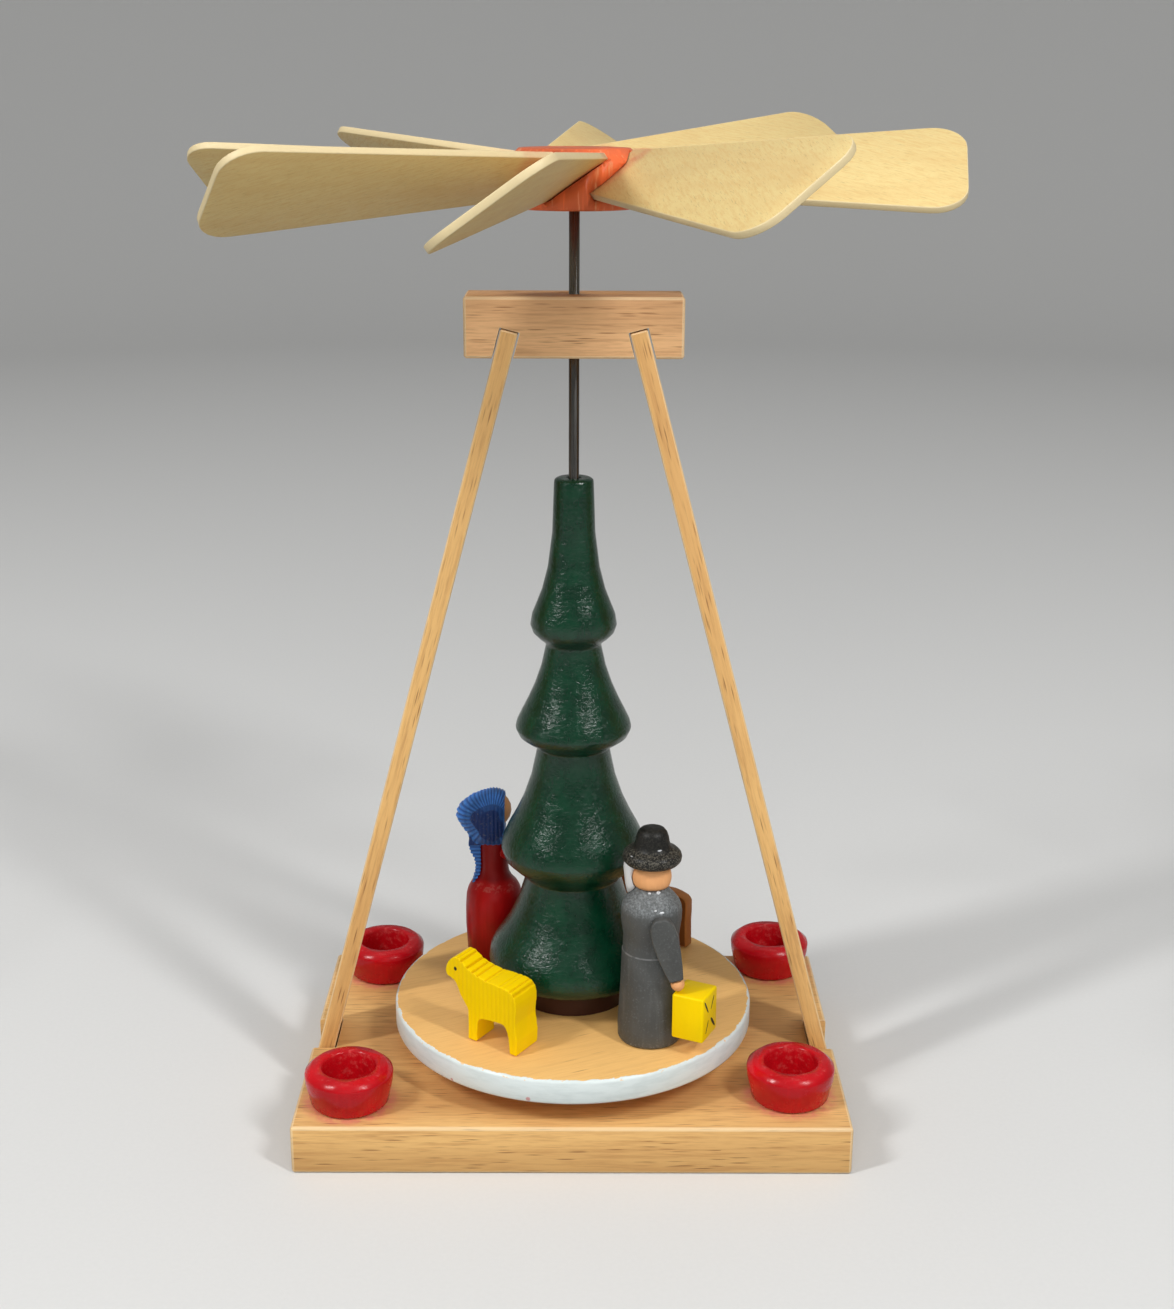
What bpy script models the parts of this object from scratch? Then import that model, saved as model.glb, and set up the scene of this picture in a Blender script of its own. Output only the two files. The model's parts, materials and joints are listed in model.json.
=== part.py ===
"""Table-top candle pyramid of turned and sawn wood.

A beech frame of a board, two leaning laths and a crossbar carries a steel rod.
The rod turns in a cup in the board and in a hole in the crossbar, and it carries
a round turntable with a turned tree and figures, and a slotted hub with eight
pitched blades on top. Four candle cups stand at the corners of the board.

Metres, +Z up. The origin is the middle of the board's underside, on the rod's
axis, and the front is towards -Y.
"""
import math

import bmesh
import bpy
from mathutils import Matrix, Vector
from mathutils.geometry import interpolate_bezier

MM = 0.001
FULL_TURN = 360.0
QUARTER_TURN = 90.0

# Clearances
fit_gap = 0.3 * MM              # left between pieces that touch
rod_clearance = 0.3 * MM        # round the rod, in every hole it passes

# Board
board_length = 130.0 * MM
board_depth = 88.6 * MM
board_thickness = 12.0 * MM
board_chamfer = 0.7 * MM

# Crossbar
crossbar_length = 49.0 * MM
crossbar_height = 13.6 * MM
crossbar_underside = 183.3 * MM
crossbar_chamfer = 0.5 * MM

# Struts, two laths that lean towards each other
strut_thickness = 4.0 * MM
strut_depth = 14.0 * MM         # the crossbar is as deep
strut_flush_height = 6.0 * MM   # where the outer face reaches the board's end
strut_inset = 6.5 * MM          # outer face to the crossbar's end, at its underside
strut_engagement = 6.0 * MM     # how far the top goes into the crossbar
strut_chamfer = 0.3 * MM

# Rod and its lower bearing
rod_radius = 1.2 * MM
rod_tip_length = 2.0 * MM
rod_chamfer = 0.3 * MM
bearing_radius = 4.0 * MM
bearing_depth = 5.0 * MM
bearing_floor = 1.8 * MM        # wall under the deepest point of the seat
bearing_slope = 0.9             # rise of the conical seat over its radius

# Turntable
turntable_radius = 44.3 * MM
turntable_thickness = 6.2 * MM
turntable_above_board = 6.0 * MM
turntable_edge = 0.8 * MM

# Tree and its foot
trunk_radius = 14.0 * MM
trunk_height = 6.2 * MM
tree_lip = 0.55                 # roundness of a rim, as a share of the drop below it
tree_undercut = 0.2             # roundness of a neck, as a share of the same drop
tree_corner = 1.0 * MM
tree_bottom_inset = 3.0 * MM
# Four tiers from the top, in millimetres: radius and height of each neck and of each rim
tree_necks = ((4.6, 124.2), (6.5, 84.3), (8.6, 58.7), (11.5, 25.3))
tree_rims = ((10.2, 89.2), (13.9, 63.7), (17.6, 32.9), (20.8, 3.5))
tree_steeps = (28.0, 11.3, 16.8, 16.4)      # how far below its neck a tier stays steep
tree_rounds = (5.6, 2.5, 5.2, 6.5)          # height of the rounding above each rim
tree_spreads = (0.0, 0.15, 0.15, 0.25)      # outward share of the steep stretch

# Hub
hub_radius = 15.0 * MM
hub_height = 12.6 * MM
hub_chamfer = 2.7 * MM
hub_lower_chamfer = 0.4 * MM
hub_above_crossbar = 18.8 * MM
hub_bore_depth = 9.0 * MM

# Blades
blade_reach = 84.8 * MM         # tip edge to the rod's axis
blade_engagement = 5.0 * MM     # how far the root goes into the hub
blade_root_width = 15.0 * MM
blade_tip_width = 31.5 * MM
blade_corner = 7.3 * MM
blade_thickness = 1.6 * MM
blade_offset = 3.2 * MM         # centre line to the rod's axis
blade_height_in_hub = 7.4 * MM  # centre line above the hub's underside
blade_pitch = 32.7
blade_first_azimuth = -11.4
# The blades are glued in by hand: turn, twist and rise of each one, in degrees
blade_errors = (
    (3.0, -1.2, 0.9), (2.6, -0.6, 2.7), (-0.5, -0.9, 0.7), (1.3, -1.4, 0.0),
    (1.3, -3.3, -1.3), (-3.7, 3.8, -1.7), (-1.8, 2.1, -1.6), (-4.8, 2.0, 0.4),
)

# Candle cups, each with a pin below: radius and height down the outside, in millimetres
cup_shape = (
    (8.8, 9.0), (9.25, 8.6), (10.25, 7.8), (10.4, 7.2), (10.2, 5.0), (9.2, 0.4), (8.8, 0.0),
)
cup_hole_radius = 6.3 * MM
cup_hole_depth = 7.2 * MM
cup_mouth_radius = 6.65 * MM
cup_mouth_depth = 0.5 * MM
cup_pin_radius = 3.0 * MM
cup_pin_length = 7.0 * MM
# Which end and edge of the board, and how far in from each the cup's axis is
cup_places = {
    "candle_cup_front_left": (-1, 12.5 * MM, -1, 12.3 * MM),
    "candle_cup_front_right": (1, 13.3 * MM, -1, 15.1 * MM),
    "candle_cup_back_left": (-1, 14.2 * MM, 1, 9.8 * MM),
    "candle_cup_back_right": (1, 11.9 * MM, 1, 6.9 * MM),
}

# Man: direction from the rod, clearance to the tree's widest rim, and where the beard points
man_azimuth = -50.9
man_clearance = 0.75 * MM
man_facing = 165.0
# Radius and height above the turntable down the outside of the coat, in millimetres,
# with a step at the waist seam
man_coat_shape = (
    (3.6, 38.6), (4.6, 37.4), (5.6, 36.4), (6.5, 35.2), (7.0, 34.0), (7.2, 32.6), (7.1, 30.5),
    (6.55, 26.4), (6.65, 23.1), (6.85, 22.7), (7.1, 14.5), (7.7, 3.5), (7.6, 0.6), (7.3, 0.0),
)
man_head_radius = 4.6 * MM
man_neck_radius = 4.14 * MM     # of the flat below the head
man_crown_radius = 3.42 * MM    # of the flat on top, where the hat sits
# Radius and height above its seat down the outside of the hat, in millimetres
man_hat_shape = (
    (2.0, 8.75), (2.8, 8.45), (3.4, 7.7), (3.75, 6.7), (4.05, 5.2), (4.4, 4.1), (5.2, 3.6),
    (6.1, 3.2), (6.7, 2.6), (6.92, 1.8), (6.8, 1.0), (6.3, 0.4), (5.5, 0.1),
)
man_hat_dome = 0.15 * MM
man_beard_radius = 2.3 * MM
man_beard_length = 8.4 * MM
man_beard_reach = 4.5 * MM      # the beard's middle to the head's middle
# Shares of the beard's radius and length, from the top
man_beard_shape = ((0.95, 1.0), (1.0, 0.85), (0.9, 0.6), (0.8, 0.35), (0.62, 0.12), (0.4, 0.0))
man_sleeve_width = 6.1 * MM
man_sleeve_thickness = 2.6 * MM
man_sleeve_let_in = 1.0 * MM    # how far it reaches inside the coat's widest radius
man_shoulder_forward = 1.9 * MM
man_shoulder_height = 32.6 * MM
man_cuff_forward = 5.7 * MM
man_cuff_height = 18.7 * MM
man_hand_radius = 1.65 * MM

# Both figures' sleeves are flat laths with a rounded shoulder. Share of the length, and half
# the width there as a share of the greatest
sleeve_shape = (
    (-0.11, 0.18), (-0.05, 0.36), (0.06, 0.46), (0.25, 0.5), (0.55, 0.45), (0.78, 0.37), (1.0, 0.27),
)
sleeve_bevel = 0.4 * MM
hand_seat = 0.55                # depth of the flat against the cuff, as a share of the radius
neck_step = 0.3 * MM            # chamfer round the top of a turned body

# Lantern, held against the coat
lantern_size = (7.96 * MM, 8.75 * MM, 11.3 * MM)
lantern_turn = -25.8
lantern_slide = -1.5 * MM       # along the coat, from the man's axis
lantern_lift = 4.0 * MM
lantern_bevel = 0.5 * MM

# Woman: direction from the rod and clearance to the tree's widest rim
woman_azimuth = 135.5
woman_clearance = 0.45 * MM
woman_dress_shape = (
    (2.2, 35.9), (2.5, 34.9), (3.3, 33.2), (3.7, 31.4), (3.65, 25.2), (3.9, 23.4), (4.7, 21.8),
    (5.9, 20.5), (6.7, 19.0), (7.15, 17.4), (7.4, 14.0), (7.4, 9.0), (7.2, 5.0), (6.95, 0.6), (6.65, 0.0),
)
woman_head_radius = 4.6 * MM
woman_neck_radius = 2.3 * MM
woman_sleeve_width = 3.0 * MM
woman_sleeve_thickness = 2.0 * MM
woman_shoulder = (2.4 * MM, 3.2 * MM, 30.1 * MM)    # ahead of the axis, to the side, height
woman_cuff = (8.4 * MM, 2.0 * MM, 27.6 * MM)
woman_hand_radius = 1.4 * MM

# Veil: how far it reaches from the ear, in millimetres, by angle from the face round the top
# to the back
veil_reach = (
    (0, 5.3), (45, 5.6), (80, 5.6), (112, 5.5), (134, 6.05), (156, 7.4), (173, 8.85), (185, 9.7),
    (193, 9.9), (206, 9.45), (223, 9.4), (235, 10.5), (250, 11.5), (270, 12.0), (315, 8.0),
)
veil_half_width = 5.8 * MM
veil_hem_height = 32.0 * MM
veil_front = 3.0 * MM           # the opening's plane, ahead of the axis
# The strip down the back: distance behind the axis and drop below the hem, in millimetres
veil_tail_outer = (
    (6.4, -2.0), (6.4, 1.0), (6.0, 2.6), (5.1, 4.2), (4.75, 6.2), (4.85, 8.4), (5.4, 10.2), (5.7, 11.1),
)
veil_tail_inner = ((5.3, 11.7), (3.6, 10.0), (2.6, 8.0), (2.6, 4.0), (3.0, -2.0))
veil_tail_width = 4.8 * MM
veil_tail_bevel = 0.8 * MM

# Sawn animals: direction from the rod, distance in from the turntable's rim, and the way they
# face. The outline runs from the rear foot, along the body and in height, in millimetres.
# The sheep is a slice of a turned ring, thicker at the rump
sheep_azimuth = -112.75
sheep_inset = 12.9 * MM
sheep_facing = 147.4
sheep_rump_thickness = 8.9 * MM
sheep_head_thickness = 6.2 * MM
sheep_outline = (
    ((-1.7, 0.0), "corner"), ((-1.9, 3.6), "round"), ((-1.3, 8.0), "round"), ((-1.6, 11.5), "round"),
    ((-1.3, 14.7), "round"), ((0.2, 16.1), "round"), ((3.8, 16.6), "round"), ((7.8, 16.8), "round"),
    ((12.4, 18.1), "round"), ((14.2, 19.3), "round"), ((15.6, 20.2), "round"), ((16.9, 20.1), "round"),
    ((18.6, 18.5), "round"), ((19.4, 16.4), "round"), ((19.0, 14.9), "round"), ((17.7, 14.5), "round"),
    ((16.3, 13.6), "round"), ((15.1, 11.0), "round"), ((13.6, 9.0), "round"), ((12.7, 7.5), "round"),
    ((12.8, 0.0), "corner"), ((10.3, 0.0), "corner"), ((9.9, 5.0), "round"), ((8.8, 6.3), "round"),
    ((5.4, 6.8), "round"), ((2.7, 7.0), "round"), ((1.5, 6.4), "round"), ((0.7, 4.2), "round"),
    ((0.3, 0.0), "corner"),
)
ox_azimuth = 39.16
ox_inset = 5.25 * MM
ox_facing = 147.0
ox_thickness = 3.2 * MM
ox_outline = (
    ((-0.2, 0.0), "corner"), ((0.0, 7.0), "round"), ((-0.1, 12.6), "round"), ((1.0, 14.0), "round"),
    ((5.0, 14.9), "round"), ((10.0, 14.7), "round"), ((15.0, 15.6), "round"), ((17.6, 18.4), "round"),
    ((19.4, 19.4), "round"), ((21.4, 18.4), "round"), ((23.6, 15.6), "round"), ((23.0, 14.0), "round"),
    ((20.4, 13.8), "round"), ((18.4, 11.2), "round"), ((17.6, 7.0), "round"), ((17.4, 0.0), "corner"),
    ((14.2, 0.0), "corner"), ((13.9, 5.4), "round"), ((12.2, 6.8), "round"), ((6.2, 7.0), "round"),
    ((4.4, 5.8), "round"), ((3.4, 0.0), "corner"),
)

# Facets round each turned piece
facets_rod = 16
facets_small = 16
facets_hand = 12
facets_figure = 24
facets_cup = 24
facets_tree = 36
facets_hub = 48
facets_turntable = 56

# Pieces that a curve is divided into
steps_edge = 2
steps_corner = 3
steps_flare = 7
steps_lip = 5
steps_ball = 8
steps_hand = 5
steps_blade_corner = 7
steps_outline = 3
steps_hood_round = 32
steps_hood_across = 10

# Heights that follow from the sizes above
turntable_underside = board_thickness + turntable_above_board
turntable_top = turntable_underside + turntable_thickness
trunk_underside = turntable_top + fit_gap
tree_underside = trunk_underside + trunk_height + fit_gap
crossbar_top = crossbar_underside + crossbar_height
hub_underside = crossbar_top + hub_above_crossbar
bearing_seat = board_thickness - bearing_depth + bearing_floor
rod_bottom = bearing_seat + fit_gap / math.sin(math.atan(bearing_slope))
rod_top = hub_underside + hub_bore_depth - fit_gap
rod_hole = rod_radius + rod_clearance
figure_base = turntable_top + fit_gap
blade_root = hub_radius - blade_engagement
cup_height = cup_shape[0][1] * MM
strut_lean = math.atan2(
    board_length / 2 - (crossbar_length / 2 - strut_inset),
    crossbar_underside - strut_flush_height,
)


def clear_scene():
    for obj in list(bpy.data.objects):
        bpy.data.objects.remove(obj, do_unlink=True)


def new_collection(name):
    collection = bpy.data.collections.new(name)
    bpy.context.scene.collection.children.link(collection)
    return collection


clear_scene()
parts = new_collection("christmas_pyramid")
cutters = new_collection("cutters")
rotor_axis = bpy.data.objects.new("rotor_axis", None)
parts.objects.link(rotor_axis)


def paint(name, colour, roughness=0.5, metallic=0.0):
    """A Principled material in one colour."""
    made = bpy.data.materials.new(name)
    made.use_nodes = True
    shader = made.node_tree.nodes["Principled BSDF"]
    shader.inputs["Base Color"].default_value = (*colour, 1.0)
    shader.inputs["Roughness"].default_value = roughness
    shader.inputs["Metallic"].default_value = metallic
    return made


beech = paint("beech", (0.66, 0.42, 0.21), 0.55)
steel = paint("steel", (0.60, 0.60, 0.58), 0.25, 1.0)
brass = paint("brass", (0.70, 0.50, 0.20), 0.30, 1.0)
veneer = paint("blade_veneer", (0.80, 0.60, 0.34), 0.45)
hub_red = paint("hub_orange_red", (0.72, 0.13, 0.04), 0.30)
cup_red = paint("cup_red", (0.42, 0.02, 0.02), 0.30)
tree_green = paint("tree_green", (0.012, 0.10, 0.045), 0.25)
trunk_brown = paint("trunk_brown", (0.10, 0.035, 0.015), 0.50)
turntable_wood = paint("turntable_wood", (0.62, 0.38, 0.18), 0.50)
coat_grey = paint("coat_grey", (0.09, 0.10, 0.115), 0.55)
hat_black = paint("hat_black", (0.012, 0.012, 0.012), 0.60)
skin = paint("skin", (0.83, 0.42, 0.26), 0.50)
white_paint = paint("white_paint", (0.80, 0.80, 0.82), 0.60)
yellow = paint("yellow_paint", (0.86, 0.58, 0.01), 0.40)
dress_red = paint("dress_red", (0.36, 0.012, 0.010), 0.40)
veil_blue = paint("veil_blue", (0.03, 0.12, 0.42), 0.45)
ox_brown = paint("ox_brown", (0.26, 0.075, 0.018), 0.50)


def place(obj, material, parent=None, matrix=None):
    """Puts a finished object among the parts."""
    obj.data.materials.append(material)
    obj.parent = parent
    if matrix is not None:
        obj.matrix_local = matrix
    parts.objects.link(obj)
    return obj


def place_cutter(obj, matrix=None):
    """Puts an object that only cuts among the cutters."""
    obj.hide_render = True
    obj.display_type = "WIRE"
    if matrix is not None:
        obj.matrix_world = matrix
    cutters.objects.link(obj)
    return obj


def box(name, low, high):
    """A box between two corners."""
    mesh = bpy.data.meshes.new(name)
    shape = bmesh.new()
    size = Vector(high) - Vector(low)
    middle = (Vector(high) + Vector(low)) / 2
    bmesh.ops.create_cube(shape, size=1.0, matrix=Matrix.Translation(middle) @ Matrix.Diagonal((*size, 1.0)))
    shape.to_mesh(mesh)
    shape.free()
    return bpy.data.objects.new(name, mesh)


def turned(name, profile, facets, closed=False):
    """A turned piece from (radius, height) points, down its outer side."""
    mesh = bpy.data.meshes.new(name)
    edges = [(index, index + 1) for index in range(len(profile) - 1)]
    if closed:
        edges.append((len(profile) - 1, 0))
    mesh.from_pydata([(radius, 0.0, height) for radius, height in profile], edges, [])
    obj = bpy.data.objects.new(name, mesh)
    screw = obj.modifiers.new("Screw", "SCREW")
    screw.steps = facets
    screw.render_steps = facets
    screw.use_merge_vertices = True
    screw.merge_threshold = 0.00001
    screw.use_smooth_shade = True
    return obj


def sawn(name, outline, thickness):
    """A flat piece sawn along a closed outline, half its thickness on each side."""
    curve = bpy.data.curves.new(name, "CURVE")
    curve.dimensions = "2D"
    curve.fill_mode = "BOTH"
    curve.extrude = thickness / 2
    spline = curve.splines.new("POLY")
    spline.points.add(len(outline) - 1)
    for point, (along, height) in zip(spline.points, outline):
        point.co = (along, height, 0.0, 1.0)
    spline.use_cyclic_u = True
    return bpy.data.objects.new(name, curve)


def as_mesh(curve_object):
    """The same piece as a mesh with its caps welded, in place of the curve."""
    bpy.context.scene.collection.objects.link(curve_object)
    bpy.context.view_layer.update()
    graph = bpy.context.evaluated_depsgraph_get()
    mesh = bpy.data.meshes.new_from_object(curve_object.evaluated_get(graph))
    shape = bmesh.new()
    shape.from_mesh(mesh)
    bmesh.ops.remove_doubles(shape, verts=shape.verts, dist=0.00001)
    bmesh.ops.recalc_face_normals(shape, faces=shape.faces)
    shape.to_mesh(mesh)
    shape.free()
    name = curve_object.name
    matrix = curve_object.matrix_world.copy()
    bpy.data.objects.remove(curve_object, do_unlink=True)
    mesh.name = name
    obj = bpy.data.objects.new(name, mesh)
    obj.matrix_world = matrix
    return obj


def soften(obj, width, segments=1):
    """Rounds or chamfers the sharp edges."""
    bevel = obj.modifiers.new("Bevel", "BEVEL")
    bevel.width = width
    bevel.segments = segments
    bevel.limit_method = "ANGLE"


def cut(obj, cutter, operation="DIFFERENCE"):
    """Cuts, joins or trims one object with another."""
    boolean = obj.modifiers.new(cutter.name, "BOOLEAN")
    boolean.operation = operation
    boolean.solver = "EXACT"
    boolean.object = cutter


def arc(centre, radius, start, end, count):
    """Points along an arc, by angles in degrees."""
    points = []
    for step in range(count + 1):
        angle = math.radians(start + (end - start) * step / count)
        points.append((centre[0] + radius * math.cos(angle), centre[1] + radius * math.sin(angle)))
    return points


def in_mm(points):
    return [(first * MM, second * MM) for first, second in points]


def grown(profile, gap):
    """A profile that clears another by a gap, longer at both ends."""
    wider = [(radius + gap, height) for radius, height in profile]
    return [(0.0, wider[0][1] + gap), (wider[0][0], wider[0][1] + gap)] + wider + [
        (wider[-1][0], wider[-1][1] - gap), (0.0, wider[-1][1] - gap)]


def widest(shape):
    return max(radius for radius, height in shape) * MM


def seat_depth(radius, flat_radius):
    """From a ball's middle to the flat of a given radius on it."""
    return math.sqrt(radius ** 2 - flat_radius ** 2)


def spot_at(azimuth, distance):
    """A place on the turntable, by its direction and distance from the rod."""
    return (distance * math.cos(math.radians(azimuth)), distance * math.sin(math.radians(azimuth)))


def beside_tree(azimuth, clearance, shape):
    """Where a turned body stands, clear of the tree's widest rim."""
    return spot_at(azimuth, widest(tree_rims) + clearance + widest(shape))


def on_turntable(spot, height=0.0):
    return Vector((spot[0], spot[1], figure_base + height))


def pointing(start, end):
    """The matrix that stands at the start, with local Z towards the end."""
    turn = (end - start).to_track_quat("Z", "Y").to_matrix().to_4x4()
    return Matrix.Translation(start) @ turn


def lying(start, end):
    """The matrix that stands at the start, with local X towards the end and local Z level."""
    along = (end - start).normalized()
    level = along.cross(Vector((0.0, 0.0, 1.0))).normalized()
    return Matrix.Translation(start) @ Matrix((along, level.cross(along), level)).transposed().to_4x4()


# Board, struts and crossbar

def strut_matrix(side):
    """Stands on the lath's middle line, with local X outwards and local Z up the lath."""
    outward = Vector((side * math.cos(strut_lean), 0.0, math.sin(strut_lean)))
    upward = Vector((-side * math.sin(strut_lean), 0.0, math.cos(strut_lean)))
    turn = Matrix((outward, upward.cross(outward), upward)).transposed().to_4x4()
    flush = Vector((side * board_length / 2, 0.0, strut_flush_height))
    return Matrix.Translation(flush - outward * strut_thickness / 2) @ turn


def make_frame():
    half_strut = strut_thickness / 2
    half_depth = strut_depth / 2
    foot = -strut_flush_height / math.cos(strut_lean) - strut_thickness
    strut_rise = crossbar_underside + strut_engagement - strut_flush_height
    top = (strut_rise + half_strut * math.sin(strut_lean)) / math.cos(strut_lean)

    board = box(
        "base_board",
        (-board_length / 2, -board_depth / 2, 0.0),
        (board_length / 2, board_depth / 2, board_thickness),
    )
    soften(board, board_chamfer, 2)
    place(board, beech)

    crossbar = box(
        "crossbar",
        (-crossbar_length / 2, -half_depth, crossbar_underside),
        (crossbar_length / 2, half_depth, crossbar_top),
    )
    soften(crossbar, crossbar_chamfer)
    place(crossbar, beech)

    envelope = place_cutter(box(
        "board_envelope",
        (-board_length / 2, -board_depth / 2, 0.0),
        (board_length / 2, board_depth / 2, crossbar_top),
    ))
    for side, name in ((-1, "strut_left"), (1, "strut_right")):
        strut = box(name, (-half_strut, -half_depth, foot), (half_strut, half_depth, top))
        soften(strut, strut_chamfer)
        cut(strut, envelope, "INTERSECT")
        place(strut, beech, matrix=strut_matrix(side))

        notch = place_cutter(box(
            name + "_notch",
            (-half_strut - fit_gap, -half_depth - fit_gap, 2 * foot),
            (half_strut + strut_thickness, half_depth + fit_gap, 3 * board_thickness),
        ), strut_matrix(side))
        cut(board, notch)
        slot = place_cutter(box(
            name + "_slot",
            (-half_strut - fit_gap, -strut_depth, top / 2),
            (half_strut + fit_gap, strut_depth, top + fit_gap),
        ), strut_matrix(side))
        cut(crossbar, slot)

    rod_bore = place_cutter(turned("crossbar_bore", [
        (0.0, crossbar_top + crossbar_height), (rod_hole, crossbar_top + crossbar_height),
        (rod_hole, crossbar_underside - crossbar_height), (0.0, crossbar_underside - crossbar_height),
    ], facets_rod))
    cut(crossbar, rod_bore)
    return board


def make_bearing(board):
    """A cup let into the board, with a conical seat for the rod's tip."""
    bottom = board_thickness - bearing_depth
    seat_radius = (board_thickness - bearing_seat) / bearing_slope
    cup = turned("bearing_cup", [
        (0.0, bearing_seat), (seat_radius, board_thickness), (bearing_radius, board_thickness),
        (bearing_radius, bottom), (0.0, bottom),
    ], facets_small)
    place(cup, brass)
    pocket = place_cutter(turned("bearing_pocket", [
        (0.0, 2 * board_thickness), (bearing_radius + fit_gap, 2 * board_thickness),
        (bearing_radius + fit_gap, bottom - fit_gap), (0.0, bottom - fit_gap),
    ], facets_small))
    cut(board, pocket)


def cup_profile():
    """From the middle of the hole's floor, over the rim, down the outside and round the pin."""
    floor = cup_height - cup_hole_depth
    hole = [
        (0.0, floor), (cup_hole_radius, floor), (cup_hole_radius, cup_height - cup_mouth_depth),
        (cup_mouth_radius, cup_height),
    ]
    pin = [(cup_pin_radius, 0.0), (cup_pin_radius, -cup_pin_length), (0.0, -cup_pin_length)]
    return hole + in_mm(cup_shape) + pin


def make_candle_cups(board):
    foot = board_thickness + fit_gap
    for name, (end, from_end, edge, from_edge) in cup_places.items():
        across = end * (board_length / 2 - from_end)
        back = edge * (board_depth / 2 - from_edge)
        cup = turned(name, cup_profile(), facets_cup)
        place(cup, cup_red, matrix=Matrix.Translation((across, back, foot)))
        hole_bottom = -cup_pin_length - fit_gap
        hole = place_cutter(turned(name + "_hole", [
            (0.0, board_thickness), (cup_pin_radius + fit_gap, board_thickness),
            (cup_pin_radius + fit_gap, hole_bottom), (0.0, hole_bottom),
        ], facets_small), Matrix.Translation((across, back, foot)))
        cut(board, hole)


# The turning pieces

def make_rod():
    rod = turned("shaft", [
        (0.0, rod_top), (rod_radius - rod_chamfer, rod_top), (rod_radius, rod_top - rod_chamfer),
        (rod_radius, rod_bottom + rod_tip_length), (0.0, rod_bottom),
    ], facets_rod)
    place(rod, steel, rotor_axis)


def make_turntable():
    edge = turntable_edge
    upper = arc((turntable_radius - edge, turntable_top - edge), edge, QUARTER_TURN, 0.0, steps_edge)
    lower = arc((turntable_radius - edge, turntable_underside + edge), edge, 0.0, -QUARTER_TURN, steps_edge)
    profile = [(rod_hole, turntable_top)] + upper + lower + [(rod_hole, turntable_underside)]
    place(turned("turntable", profile, facets_turntable, closed=True), turntable_wood, rotor_axis)


def tree_profile():
    """Down the outside of the tree: each tier flares from its neck to a rounded rim."""
    necks = [Vector(neck) for neck in in_mm(tree_necks)]
    rims = [Vector(rim) for rim in in_mm(tree_rims)]
    top = necks[0].y
    points = [(rod_hole, top)]
    points += arc((necks[0].x - tree_corner, top - tree_corner), tree_corner, QUARTER_TURN, 0.0, steps_corner)
    necks[0].y -= tree_corner
    for index, (neck, rim) in enumerate(zip(necks, rims)):
        steep = tree_steeps[index] * MM
        flare = interpolate_bezier(
            neck, neck + Vector((tree_spreads[index] * steep, -steep)),
            rim + Vector((0.0, tree_rounds[index] * MM)), rim, steps_flare)
        if index + 1 < len(necks):
            below = necks[index + 1]
            drop = Vector((0.0, rim.y - below.y))
            lip = interpolate_bezier(
                rim, rim - tree_lip * drop, below + tree_undercut * drop, below, steps_lip)
        else:
            foot = Vector((rim.x - tree_bottom_inset, 0.0))
            lip = interpolate_bezier(
                rim, Vector((rim.x, rim.y / 2)), foot + Vector((tree_bottom_inset / 2, 0.0)), foot, steps_lip)
        points += [tuple(point) for point in flare[1:] + lip[1:]]
    return points + [(rod_hole, 0.0)]


def make_tree():
    trunk = turned("tree_trunk", [
        (rod_hole, trunk_height), (trunk_radius, trunk_height), (trunk_radius, 0.0), (rod_hole, 0.0),
    ], facets_tree, closed=True)
    place(trunk, trunk_brown, rotor_axis, Matrix.Translation((0.0, 0.0, trunk_underside)))
    tree = turned("tree", tree_profile(), facets_tree, closed=True)
    place(tree, tree_green, rotor_axis, Matrix.Translation((0.0, 0.0, tree_underside)))


def blade_outline(gap):
    """A tapering blade with round tip corners, wider all round by the gap."""
    root = blade_root - gap
    tip = blade_reach + gap
    taper = (blade_tip_width - blade_root_width) / (blade_reach - blade_root) / 2
    root_half = blade_root_width / 2 + gap / math.cos(math.atan(taper)) - gap * taper
    tip_half = root_half + taper * (tip - root)
    slope = math.degrees(math.atan(taper))
    centre_x = tip - blade_corner
    centre_y = tip_half - blade_corner * (1 + math.sin(math.radians(slope))) / math.cos(math.radians(slope))
    centre_y = min(centre_y, tip_half - blade_corner)
    corner = arc((centre_x, centre_y), blade_corner, 0.0, QUARTER_TURN + slope, steps_blade_corner)
    right = [(root, -root_half)] + [(x, -y) for x, y in reversed(corner)]
    return right + corner + [(root, root_half)]


def blade_matrix(index):
    """Local X runs along the blade, Y across it to the higher edge and Z out of its face."""
    turn, twist, rise = blade_errors[index]
    azimuth = math.radians(blade_first_azimuth + FULL_TURN * index / len(blade_errors) + turn)
    pitch = math.radians(blade_pitch + twist)
    climb = math.radians(rise)
    along = Vector((
        math.cos(azimuth) * math.cos(climb), math.sin(azimuth) * math.cos(climb), math.sin(climb)))
    sideways = Vector((-math.sin(azimuth), math.cos(azimuth), 0.0))
    across = math.cos(pitch) * sideways + math.sin(pitch) * along.cross(sideways)
    middle = Vector((0.0, 0.0, hub_underside + blade_height_in_hub)) + blade_offset * sideways
    return Matrix.Translation(middle) @ Matrix((along, across, along.cross(across))).transposed().to_4x4()


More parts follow.
